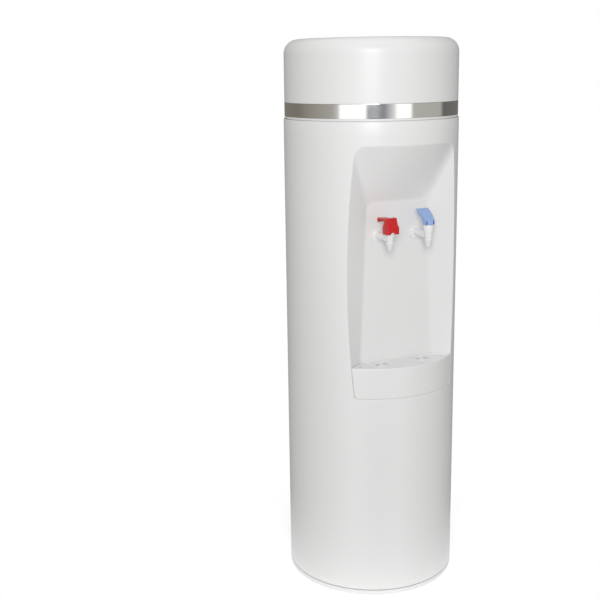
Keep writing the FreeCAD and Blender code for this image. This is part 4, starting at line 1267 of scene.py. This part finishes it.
@dataclass
class DripTray:
    """Pull-out tray with a thin rim and the grille that lies in it."""

    recess: Recess = field(default_factory=Recess)
    base: float = 388.3
    rim: float = 444.5
    gap: float = 0.45
    front_corner: float = 4.0
    back_corner: float = 10.5
    grille_top: float = 443.3
    grille_base: float = 440.9
    ring_offset: float = 42.0
    ring_depth: float = 118.0
    ring_radius: float = 15.0
    ring_wall: float = 2.2
    ring_sink: float = 0.4
    ring_rise: float = 0.9
    drain_radius: float = 3.1
    drain_length: float = 5.2
    drain_offset: float = 8.0
    slot_offset: float = 84.0
    slot_front: float = 121.0
    slot_back: float = 105.0
    slot_half: float = 1.1
    pip_spacing: float = 2.1
    pip_radius: float = 0.62
    pip_density: float = 400000.0
    pip_seed: int = 7

    def tuck(self, corner: float, height: float) -> float:
        """How far a lower corner draws the outline in at a height."""
        short = max(corner - (height - self.base), 0.0)
        return corner - math.sqrt(corner ** 2 - short ** 2)

    def outline(self, height: float, inset: float = 0.0) -> list[Vector]:
        """The tray's plan at a height, drawn in from the recess walls and from the tower's surface.

        Args:
            height: above the floor.
            inset: distance from the tray's outer face.

        Returns:
            A closed row of points, anticlockwise from the middle of the front.
        """
        recess = self.recess
        reach = recess.radius - inset
        across = recess.shell_half(height) - self.gap - self.tuck(self.front_corner, height) - inset
        half = across / recess.radius
        back = -(recess.depth + self.gap + inset)
        front_end = recess.on_shell(reach, half, height)
        back_end = Vector((recess.wall_half(height) - self.gap - self.tuck(self.back_corner, height) - inset,
                           back, height))
        run = (back_end - front_end).normalized()
        near = 1.6
        far = max(7.0 - inset * 0.4, 1.5)
        points = [recess.on_shell(reach, (half - near / reach) * step / 24, height) for step in range(24)]
        points += curve_through(recess.on_shell(reach, half - near / reach, height), front_end,
                                front_end + run * near, 4)
        start, end = front_end + run * near, back_end - run * far
        points += [start.lerp(end, step / 10) for step in range(1, 10)]
        points += curve_through(end, back_end, back_end - Vector((far, 0.0, 0.0)), 5)
        middle = Vector((0.0, back, height))
        points += [(back_end - Vector((far, 0.0, 0.0))).lerp(middle, step / 12) for step in range(1, 13)]
        mirrored = [Vector((-point.x, point.y, point.z)) for point in reversed(points[1:-1])]
        return points + mirrored

    def turned_up(self, name: str, profile: Sequence[Flat], finish: Finish) -> bpy.types.Object:
        """Run a profile round the tray's plan.

        Args:
            name: the piece's name.
            profile: (inset, height) from one end face to the other.
            finish: its finish.

        Returns:
            The closed solid.
        """
        draft = Draft()
        rings = [draft.ring(self.outline(height, inset)) for inset, height in profile]
        draft.stack(rings)
        draft.cap(rings[0])
        draft.cap(rings[-1])
        return draft.piece(name, finish, 38.0)

    def tray(self) -> bpy.types.Object:
        """Shape the tray: flush front, rounded rim, ledge and basin.

        Returns:
            The tray.
        """
        rise = self.rim - self.base
        profile = [(0.9, self.base), (0.25, self.base + 0.25), (0.0, self.base + 0.9)]
        profile += [(0.0, self.base + 1.4 + (rise - 2.8) * step / 12) for step in range(13)]
        profile += [(0.12, self.rim - 0.7), (0.5, self.rim - 0.15), (1.1, self.rim), (2.2, self.rim),
                    (2.8, self.rim - 0.2), (3.1, self.rim - 0.8), (3.1, self.grille_base - 0.2),
                    (7.6, self.grille_base - 0.2), (8.0, self.grille_base - 0.7)]
        profile += [(8.2 + 1.2 * step / 6, self.grille_base - 4.0 - 40.0 * step / 6) for step in range(7)]
        profile += [(10.2, self.base + 4.4), (12.0, self.base + 3.6)]
        return self.turned_up("drip_tray_basin", profile, SHELL_WHITE)

    def stipple_tree(self) -> bpy.types.GeometryNodeTree:
        """Scatter low pips over the upper face of the grille plate.

        Returns:
            The tree.
        """
        sizes = {"Spacing": self.pip_spacing * MM, "Pip Radius": self.pip_radius * MM}
        graph, entry = Graph.grower("grille_stipple", sizes)
        plate, spacing, size = entry["Geometry"], entry["Spacing"], entry["Pip Radius"]
        facing = graph.node("ShaderNodeSeparateXYZ", output="Z", Vector=graph.node("GeometryNodeInputNormal"))
        upper = graph.node("FunctionNodeCompare", {"data_type": "FLOAT", "operation": "GREATER_THAN"},
                           in0=facing, in1=0.95)
        points = graph.node("GeometryNodeDistributePointsOnFaces", {"distribute_method": "POISSON"},
                            Mesh=plate, Selection=upper, Distance_Min=spacing, Density_Max=self.pip_density,
                            Seed=self.pip_seed)
        pip = graph.node("GeometryNodeMeshCone", {"fill_type": "NONE"}, Vertices=6, Radius_Top=size * 0.45,
                         Radius_Bottom=size, Depth=size * 0.5)
        pips = graph.node("GeometryNodeInstanceOnPoints", Points=points, Instance=pip)
        real = graph.node("GeometryNodeRealizeInstances", Geometry=pips)
        return graph.grown(graph.join(plate, real), entry["Material"])

    def grille(self) -> bpy.types.Object:
        """Make the plate with two cup rings, their drain holes and two finger slots, stippled above.

        Returns:
            The grille.
        """
        low, high = self.grille_base, self.grille_top
        profile = [(3.7, low), (3.45, low + 0.25), (3.45, high - 0.4), (3.8, high)]
        plate = self.turned_up("drip_grille_plate", profile, GRILLE_GREY)
        turns = [math.tau * index / 28 for index in range(28)]
        tools = []
        for side in (-1, 1):
            for step in (-1, 1):
                middle = self.ring_offset * side + self.drain_offset * step
                oval = [(middle + self.drain_radius * math.cos(turn),
                         -self.ring_depth + self.drain_length * math.sin(turn)) for turn in turns]
                tools.append(prism("drain_hole", oval, "Z", low - 2.0, high + 3.0, GRILLE_GREY))
            left, right = side * self.slot_offset - self.slot_half, side * self.slot_offset + self.slot_half
            front, back = -self.slot_front, -self.slot_back
            slot = rounded([(left, front, 0.9), (right, front, 0.9), (right, back, 0.9), (left, back, 0.9)],
                           3, True)
            tools.append(prism("finger_slot", slot, "Z", low - 2.0, high + 2.0, GRILLE_GREY))
        plate = carved(plate, tools, GRILLE_GREY)
        plate = grown(plate, self.stipple_tree(), GRILLE_GREY)
        outer, inner = self.ring_radius, self.ring_radius - self.ring_wall
        foot, crest = high - self.ring_sink, high + self.ring_rise
        section = rounded([(inner, foot, 0.0), (outer, foot, 0.0), (outer, crest, 0.45),
                           (inner, crest, 0.45)], 3, True)
        rings = []
        for side in (-1, 1):
            draft = Draft()
            draft.lathe(section, (self.ring_offset * side, -self.ring_depth, 0.0), segments=72, closed=True)
            rings.append(draft.piece("cup_ring", GRILLE_GREY))
        return merged(plate, rings)

    def build(self) -> None:
        """Make the tray and its grille."""
        replace(self.tray(), "tray", "white_gloss", "drip_tray")
        replace(self.grille(), "grille", "grille_grey", "drip_grille")


# ---------------------------------------------------------------- taps

@dataclass
class Tap:
    """One push-down tap, drawn about its valve axis at the height of its arm."""

    side: Side
    offset: float = 38.75
    reach: float = 142.0
    height: float = 675.5
    wall_gap: float = 44.0
    barrel_radius: float = 8.6
    barrel_rise: float = 8.0
    waist: float = 6.1
    spout_drop: float = 20.5
    arm_radius: float = 6.5
    shank_end: float = 70.0
    bonnet_top: float = 18.5
    bonnet_radius: float = 9.3
    lever_low: float = 18.8
    pin_rise: float = 22.5
    stem_slot: float = 2.8

    @property
    def centre(self) -> Point:
        """Where the valve axis meets the arm's axis."""
        return self.offset * self.side.value, -self.reach, self.height

    def prism(self, name: str, corners: Sequence[Flat], axis: str, low: float, high: float, finish: Finish
              ) -> bpy.types.Object:
        """A prism drawn about the tap's centre."""
        return prism(name, corners, axis, low, high, finish, self.centre)

    def body(self) -> bpy.types.Object:
        """Turn the barrel, collar groove and spout cone, and join the arm that runs back through the wall.

        Returns:
            The body.
        """
        low = -self.spout_drop
        barrel = Draft()
        barrel.lathe([(2.6, low), (3.5, low), (3.85, low + 0.35), (6.8, -8.7), (7.2, -8.1), (7.2, -6.0),
                      (6.8, -5.5), (5.7, -5.4), (5.7, -4.6), (self.waist, -4.3), (self.waist + 0.15, -3.0),
                      (self.barrel_radius, self.barrel_rise), (5.4, self.barrel_rise), (5.4, -2.0),
                      (2.6, -2.0)],
                     self.centre, segments=56, closed=True)
        arm = Draft()
        arm.lathe([(3.0, 6.4), (self.arm_radius, 6.4), (self.arm_radius, self.shank_end - 0.8),
                   (self.arm_radius - 0.8, self.shank_end), (3.0, self.shank_end)],
                  self.centre, "Y", 48, True)
        upright = barrel.piece(f"{self.side.label}_tap", TAP_WHITE)
        return carved(upright, [arm.piece("arm", TAP_WHITE)], TAP_WHITE, "UNION")

    def flange(self) -> bpy.types.Object:
        """Turn the stepped flange that lies against the wall.

        Returns:
            The flange.
        """
        wall, step, face = self.wall_gap, self.wall_gap - 2.2, self.wall_gap - 4.5
        profile = rounded([(6.55, wall, 0.0), (12.8, wall, 0.2), (12.8, step, 0.8), (10.4, step, 0.4),
                           (9.8, face, 0.9), (6.55, face, 0.3)], 4, True)
        draft = Draft()
        draft.lathe(profile, self.centre, "Y", 64, True)
        return draft.piece(f"{self.side.label}_flange_ring", TAP_WHITE)

    def bonnet(self) -> bpy.types.Object:
        """Turn the white cap that closes the valve and that the lever rests on.

        Returns:
            The bonnet.
        """
        radius, top = self.bonnet_radius, self.bonnet_top
        draft = Draft()
        draft.lathe([(2.55, 15.0), (5.4, 15.0), (5.4, 8.0), (8.5, 8.0), (8.65, 8.15), (radius, 17.8),
                     (radius - 0.2, 18.3), (radius - 0.8, top), (2.55, top)],
                    self.centre, segments=56, closed=True)
        return draft.piece(f"{self.side.label}_bonnet_cap", TAP_WHITE)

    def stem_room(self) -> list[bpy.types.Object]:
        """Make the tools that clear the stem and the pin out of a lever.

        Returns:
            A slot and a round bar.
        """
        half, top = self.stem_slot, self.pin_rise + 4.2
        outline = [(-half, 17.0), (half, 17.0), (half, top), (-half, top)]
        slot = self.prism("stem_room", outline, "Y", -4.5, 15.0, TAP_WHITE)
        return [slot, self.bar("pin_room", 1.25, 32.0, 0.0, self.pin_rise, 24, TAP_WHITE)]

    def bar(self, name: str, radius: float, length: float, behind: float, above: float, segments: int,
            finish: Finish) -> bpy.types.Object:
        """Make a round bar across the tap.

        Args:
            name: the bar's name.
            radius: its radius.
            length: its length, half on each side of the tap.
            behind: how far it is behind the valve axis.
            above: how far it is above the arm's axis.
            segments: faces round it.
            finish: its finish.

        Returns:
            The bar.
        """
        x, y, z = self.centre
        draft = Draft()
        draft.lathe([(0.0, -length / 2), (radius, -length / 2), (radius, length / 2), (0.0, length / 2)],
                    (x, y + behind, z + above), "X", segments)
        return draft.piece(name, finish)

    def blocked_out(self, name: str, side_view: Sequence[Flat], half: Sequence[Point], behind: float,
                    finish: Finish) -> bpy.types.Object:
        """Shape a lever as what its side view and its front view have in common.

        Args:
            name: the lever's name.
            side_view: its outline from the side.
            half: (x, z, radius) up the right half of its outline from the front.
            behind: how far the front view is carried back.
            finish: its finish.

        Returns:
            The block.
        """
        front = rounded([*half, *((-x, z, size) for x, z, size in reversed(half))], 4, True)
        block = self.prism(name, side_view, "X", -14.0, 14.0, finish)
        stock = self.prism("front_view", front, "Y", -20.0, behind, finish)
        return carved(block, [stock], finish, "INTERSECT")

    def build(self) -> None:
        """Make the tap's fixed pieces and its lever."""
        label = self.side.label
        replace(self.body(), "tower", "white_gloss", f"{label}_tap_body")
        replace(self.flange(), "tower", "white_gloss", f"{label}_flange")
        replace(self.bonnet(), "tower", "white_gloss", f"{label}_bonnet")
        self.build_lever()

    def build_lever(self) -> None:
        """Make the lever; each kind of tap has its own."""


@dataclass
class ColdTap(Tap):
    """Tap with the blue paddle."""

    side: Side = Side.COLD
    foot_half: float = 9.0
    tip_half: float = 12.0

    def build_lever(self) -> None:
        """Paddle that leans back from a narrower foot, with two corner recesses, each lined with a dark plate
        as painted shade.
        """
        low = self.lever_low
        outline = rounded([(-6.0, low, 0.5), (6.0, low, 0.5), (6.0, 26.5, 3.0), (24.0, 43.9, 0.7),
                           (22.0, 45.5, 0.9), (-6.0, 27.6, 5.0)], 4, True)
        foot, tip = self.foot_half, self.tip_half
        half = [(foot, low - 1.0, 0.0), (foot, 31.0, 1.6), (tip - 0.9, 33.6, 1.6), (tip, 46.5, 0.0)]
        lever = self.blocked_out("cold_lever_paddle", outline, half, 40.0, LEVER_BLUE)
        tools = self.stem_room()
        for side in (-1, 1):
            corners = [(side * 5.2, 19.6), (side * 8.2, 19.6), (side * 8.2, 25.6), (side * 6.2, 26.6)]
            tools.append(self.prism("corner_recess", corners, "Y", -7.0, -4.8, LEVER_BLUE))
            # A thin dark plate inside each corner recess: painted shade where the recess lies in shadow.
            name = f"cold_lever_recess_{'left' if side < 0 else 'right'}"
            accompany(self.prism(name, corners, "Y", -5.3, -4.75, BLUE_RECESS_SHADE), "cold_handle")
        lever = bevelled(carved(lever, tools, LEVER_BLUE), 0.35, LEVER_BLUE)
        replace(lever, "cold_handle", "cold_blue", "cold_lever")


@dataclass
class HotTap(Tap):
    """Tap with the red safety lever."""

    side: Side = Side.HOT
    skirt_half: float = 11.5
    block_half: float = 9.2
    hood_half: float = 9.9
    top: float = 36.5
    latch_half: float = 7.5
    latch_end: float = 35.5
    grooves: int = 4
    groove_pitch: float = 4.2
    groove_half: float = 0.45

    def build_lever(self) -> None:
        """Hood over the bonnet, grooved block above it, and the latch behind."""
        low, top, hood = self.lever_low, self.top, self.hood_half
        block, skirt = self.block_half, self.skirt_half
        side_view = rounded([(-11.6, 8.5, 0.8), (5.2, 8.5, 2.0), (6.0, 20.0, 0.0), (6.0, 31.5, 0.0),
                             (4.2, top, 1.0), (-6.6, top, 1.4), (-8.2, 30.0, 4.0), (-11.4, 20.5, 4.0)],
                            5, True)
        half = [(skirt, 7.0, 0.0), (skirt, 20.6, 2.0), (block + 0.3, 25.0, 2.0), (block, top + 1.0, 0.0)]
        lever = self.blocked_out("hot_lever_block", side_view, half, 20.0, LEVER_RED)
        tools = self.stem_room()
        dome = Draft()
        dome.lathe([(0.0, 6.0), (hood, 6.0), (hood, low), (0.0, low)], self.centre, segments=56)
        tools.append(dome.piece("bonnet_room", LEVER_RED))
        opening = [(-hood, 6.0), (hood, 6.0), (hood, low), (-hood, low)]
        tools.append(self.prism("open_back", opening, "Y", 0.0, 8.0, LEVER_RED))
        turns = [math.pi * step / 14 for step in range(15)]
        arch = [(5.2 * math.cos(turn), 7.6 + 4.6 * math.sin(turn)) for turn in turns]
        tools.append(self.prism("front_arch", [(5.2, 6.0), *arch, (-5.2, 6.0)], "Y", -14.0, -6.0, LEVER_RED))
        latch_room = [(-7.8, 28.5), (7.8, 28.5), (7.8, 38.0), (-7.8, 38.0)]
        tools.append(self.prism("latch_room", latch_room, "Y", 0.0, 8.0, LEVER_RED))
        strip = rounded([(-14.0, 16.0, 0.0), (-10.9, 16.0, 0.0), (-10.9, 20.6, 3.0), (-7.6, 30.2, 4.0),
                         (-6.4, 35.0, 0.0), (-14.0, 35.0, 0.0)], 4, True)
        for index in range(self.grooves):
            middle = (index - (self.grooves - 1) / 2) * self.groove_pitch
            low_side, high_side = middle - self.groove_half, middle + self.groove_half
            tools.append(self.prism("groove", strip, "X", low_side, high_side, LEVER_RED))
        lever = bevelled(carved(lever, tools, LEVER_RED), 0.3, LEVER_RED)
        replace(lever, "hot_handle", "hot_red", "hot_lever")
        replace(self.latch(), "hot_safety_latch", "hot_red", "hot_latch")

    def latch(self) -> bpy.types.Object:
        """Shape the flat latch arm, with a rounded end and a hook below it.

        Returns:
            The latch.
        """
        base, end, half = self.top - 6.0, self.latch_end, self.latch_half
        side_view = rounded([(0.6, base, 0.3), (end - 6.5, base, 1.5), (end - 4.5, base - 4.5, 0.8),
                             (end - 1.4, base - 4.5, 0.8), (end, base + 0.5, 1.2),
                             (end - 2.0, base + 3.0, 1.2), (3.0, base + 4.4, 0.8), (0.6, base + 4.0, 0.4)],
                            4, True)
        arm = self.prism("hot_latch_arm", side_view, "X", -half, half, LEVER_RED)
        plan = rounded([(-half - 1.0, -1.0, 0.0), (half + 1.0, -1.0, 0.0), (half, 3.0, 0.0), (half, end, 5.5),
                        (-half, end, 5.5), (-half, 3.0, 0.0)], 6, True)
        stock = self.prism("plan_view", plan, "Z", base - 8.0, base + 8.0, LEVER_RED)
        arm = carved(arm, [stock], LEVER_RED, "INTERSECT")
        eye = self.bar("eye", 1.1, 20.0, 3.2, self.top - 3.8, 20, LEVER_RED)
        return bevelled(carved(arm, [eye], LEVER_RED), 0.35, LEVER_RED)


# ---------------------------------------------------------------- rear

@dataclass
class RearPanel:
    """Rolled lips over the ventilation slots of the rear panel."""

    radius: float = 158.7
    lip_radius: float = 1.0
    half_angle: float = 0.325
    count: int = 9
    pitch: float = 20.0
    banks: tuple[float, float] = (220.6, 565.6)

    def lip_tree(self) -> bpy.types.GeometryNodeTree:
        """Lay one curved lip over each slot of both banks.

        Returns:
            The tree.
        """
        sizes = {"Radius": self.radius * MM, "Lip Radius": self.lip_radius * MM,
                 "Half Angle": self.half_angle, "Pitch": self.pitch * MM,
                 "First Bank": self.banks[0] * MM, "Second Bank": self.banks[1] * MM}
        graph, entry = Graph.grower("slot_lips", sizes)
        radius, lip, half, pitch, first, second = (entry[name] for name in sizes)
        arc = graph.node("GeometryNodeCurveArc", {"mode": "RADIUS"}, Resolution=28, Radius=radius,
                         Start_Angle=math.pi / 2 - half, Sweep_Angle=half * 2.0)
        profile = graph.node("GeometryNodeCurvePrimitiveCircle", {"mode": "RADIUS"}, Resolution=10,
                             Radius=lip)
        bead = graph.node("GeometryNodeCurveToMesh", Curve=arc, Profile_Curve=profile, Fill_Caps=True)
        step = graph.node("ShaderNodeCombineXYZ", Z=pitch)
        banks = []
        for bank in (first, second):
            start = graph.node("ShaderNodeCombineXYZ", Z=bank)
            line = graph.node("GeometryNodeMeshLine", {"mode": "OFFSET"}, Count=self.count,
                              Start_Location=start, Offset=step)
            banks.append(graph.node("GeometryNodeInstanceOnPoints", Points=line, Instance=bead))
        return graph.grown(graph.join(*banks), entry["Material"])

    def build(self) -> None:
        """Make the lips as one piece on the tower."""
        accompany(grown(blank("rear_slot_lips"), self.lip_tree(), PANEL_COAT), "tower")


# ---------------------------------------------------------------- studio

@dataclass(frozen=True)
class Softbox:
    """One rectangular area light; lengths are metres."""

    name: str
    spot: Point
    aim: Point
    size: Flat
    power: float

    def build(self) -> None:
        """Hang the light and turn it to its aim."""
        data = bpy.data.lights.new(self.name, "AREA")
        data.shape = "RECTANGLE"
        data.size, data.size_y = self.size
        data.energy = self.power
        light = bpy.data.objects.new(self.name, data)
        turned = (Vector(self.aim) - Vector(self.spot)).to_track_quat("-Z", "Y")
        light.matrix_world = Matrix.Translation(Vector(self.spot)) @ turned.to_matrix().to_4x4()
        bpy.context.scene.collection.objects.link(light)


@dataclass
class Studio:
    """Pale floor, soft light and the camera; lengths are metres and angles degrees."""

    lights: tuple[Softbox, ...] = (Softbox("key", (-1.15, -2.25, 1.4), (0.0, 0.0, 0.85), (0.8, 0.9), 31.0),
                                   Softbox("top", (0.0, 0.4, 3.0), (0.0, 0.0, 0.0), (2.6, 2.6), 14.0))
    turn: float = 28.4
    distance: float = 1.8605
    height: float = 0.9703
    pitch: float = 13.20
    yaw: float = 4.13
    roll: float = -0.84
    lens: float = 60.12
    floor_reach: float = 9.0
    floor_glow: float = 0.34
    floor_fade: Flat = (0.17, 0.40)
    ambient: float = 0.50

    def camera(self) -> None:
        """Camera to the left of the taps, a little above the middle, looking down."""
        turn, pitch, roll = (math.radians(value) for value in (self.turn, self.pitch, self.roll))
        heading = turn - math.radians(self.yaw)
        forward = Vector((math.cos(pitch) * math.sin(heading), math.cos(pitch) * math.cos(heading),
                          -math.sin(pitch)))
        level = Vector((math.cos(heading), -math.sin(heading), 0.0))
        rise = Vector((math.sin(pitch) * math.sin(heading), math.sin(pitch) * math.cos(heading),
                       math.cos(pitch)))
        right = level * math.cos(roll) + rise * math.sin(roll)
        above = rise * math.cos(roll) - level * math.sin(roll)
        data = bpy.data.cameras.new("camera")
        data.lens = self.lens
        data.sensor_width = 36.0
        data.clip_end = 50.0
        camera = bpy.data.objects.new("camera", data)
        axes = Matrix((right, above, -forward)).transposed().to_4x4()
        spot = Vector((-self.distance * math.sin(turn), -self.distance * math.cos(turn), self.height))
        camera.matrix_world = Matrix.Translation(spot) @ axes
        bpy.context.scene.collection.objects.link(camera)
        bpy.context.scene.camera = camera

    def floor(self) -> None:
        """A pale floor that thins out into the even surroundings away from the tower."""
        reach = self.floor_reach / MM
        draft = Draft()
        draft.cap(draft.ring([(-reach, -reach, 0.0), (reach, -reach, 0.0), (reach, reach, 0.0),
                              (-reach, reach, 0.0)]))
        floor = draft.piece("studio_floor", Finish("studio_floor", (0.93, 0.93, 0.93), 0.8))
        shader = floor.data.materials[0].node_tree.nodes["Principled BSDF"]
        shader.inputs["Emission Color"].default_value = (1.0, 1.0, 1.0, 1.0)
        shader.inputs["Emission Strength"].default_value = self.floor_glow
        graph = Graph(floor.data.materials[0].node_tree)
        spot = graph.node("ShaderNodeNewGeometry", output="Position")
        away = graph.node("ShaderNodeVectorMath", {"operation": "LENGTH"}, output="Value", in0=spot)
        start, end = self.floor_fade
        graph.feed(shader.inputs["Alpha"], 1.0 - ((away - start) / (end - start)).clamp())

    def world(self) -> None:
        """Even pale surroundings; polished metal sees a studio of light and dark panels instead."""
        world = bpy.data.worlds.new("studio")
        bpy.context.scene.world = world
        world.use_nodes = True
        tree = world.node_tree
        tree.nodes.clear()
        graph = Graph(tree)
        place = graph.node("ShaderNodeTexCoord", output="Generated")
        split = graph.node("ShaderNodeSeparateXYZ", Vector=place)
        deep = Signal(graph, split.socket.node.outputs[1])
        angle = graph.math("ARCTAN2", split, 0.0 - deep)
        share = (angle / math.tau + 0.5).clamp()
        panels = graph.node("ShaderNodeValToRGB", {"stops": self.panel_stops()}, Fac=share)
        even = (self.ambient, self.ambient, self.ambient, 1.0)
        seen = graph.node("ShaderNodeLightPath", output="Is Camera Ray")
        glossy = graph.node("ShaderNodeLightPath", output="Is Glossy Ray")
        behind = graph.node("ShaderNodeMix", {"data_type": "RGBA"}, output=2, in0=seen, in6=even,
                            in7=(1.0, 1.0, 1.0, 1.0))
        blend = graph.node("ShaderNodeMix", {"data_type": "RGBA"}, output=2, in0=glossy, in6=behind,
                           in7=panels)
        light = graph.node("ShaderNodeBackground", Color=blend, Strength=1.0)
        exit_node = tree.nodes.new("ShaderNodeOutputWorld")
        graph.feed(exit_node.inputs["Surface"], light)

    @staticmethod
    def panel_stops() -> list[tuple[float, tuple]]:
        """Set light and dark panels round the studio.

        Returns:
            (share of the turn from the back, colour) of each stop.
        """
        def grey(value: float, warm: float = 0.0) -> tuple:
            """A grey, warmer or, below 0, cooler."""
            return value * (1 + warm), value, value * (1 - 2 * warm), 1.0
        bright = grey(1.3)
        return [(0.0, grey(0.20, 0.06)), (0.12, grey(0.20, 0.08)), (0.14, grey(0.24, 0.08)),
                (0.28, grey(0.42, 0.04)), (0.302, grey(0.62)), (0.31, bright), (0.402, bright),
                (0.408, grey(0.17, -0.05)), (0.470, grey(0.28, -0.05)), (0.508, grey(0.85)), (0.514, bright),
                (0.567, bright), (0.577, grey(0.50, 0.03)), (0.705, grey(0.46, 0.03)),
                (0.722, grey(0.15, 0.03)), (1.0, grey(0.2, 0.06))]

    def build(self) -> None:
        """Set the stage."""
        self.camera()
        self.floor()
        self.world()
        for light in self.lights:
            light.build()
        scene = bpy.context.scene
        scene.view_settings.view_transform = "Standard"
        log.info("camera at %s", tuple(round(part, 3) for part in scene.camera.location))


# ---------------------------------------------------------------- carried-over pieces

NODE_FINISHES: tuple[tuple[Finish, tuple[str, ...]], ...] = (
    (SHELL_WHITE, ("body_shell", "base_ring", "top_deck", "drip_tray")),
    (LINER_WHITE, ("recess_liner",)),
    (LID_WHITE, ("lid",)),
    (BAND_STEEL, ("trim_band",)),
    (GRILLE_GREY, ("drip_grille",)),
    (LEVER_RED, ("hot_lever", "hot_latch")),
    (LEVER_BLUE, ("cold_lever",)),
    (TAP_WHITE, ("reservoir_baffle", "reservoir_cover", "float_valve", "float_arm", "water_inlet",
                 *(f"{side.label}_{part}" for side in Side
                   for part in ("tap_body", "flange", "shank_nut", "bonnet", "stem")))),
    (TANK_STEEL, ("cold_reservoir", "hot_tank", "hot_latch_pin", "panel_screws",
                  *(f"{side.label}_{part}" for side in Side for part in ("spring", "lever_pin")))),
    (ZINC_SHEET, ("base_plate", "heater_band", "tank_shelf", "hot_tank_stand")),
    (COPPER_TUBE, ("evaporator_coil", "filter_drier", "refrigerant_lines")),
    (BLACK_COAT, ("compressor", "condenser")),
    (BLACK_MOULDED, ("control_box", "power_inlet", "switch_frame")),
    (PANEL_COAT, ("rear_panel", "service_plate", "service_shelf")),
    (ROCKER_RED, ("heater_switch",)),
    (ROCKER_GREEN, ("cooler_switch",)),
    (HOSE_SILICONE, ("cold_hose", "hot_hose", "feed_hose")),
    (JACKET_FOAM, ("insulation_jacket",)),
    (FOOT_RUBBER, ("compressor_mounts", *FEET)),
)


def dress_carried() -> None:
    """Give every CAD node its finish."""
    finishes = {name: finish for finish, names in NODE_FINISHES for name in names}
    for name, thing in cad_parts.items():
        material = finishes[name].material()
        if not thing.material_slots:
            thing.data.materials.append(material)
        for material_slot in thing.material_slots:
            material_slot.material = material


def main() -> None:
    """Build the dispenser and the studio."""
    logging.basicConfig(level=logging.INFO, format="%(message)s")
    Studio().build()
    dress_carried()
    for part in (Tower(), Crown(), DripTray(), HotTap(), ColdTap(), RearPanel()):
        part.build()


if __name__ == "__main__":
    main()
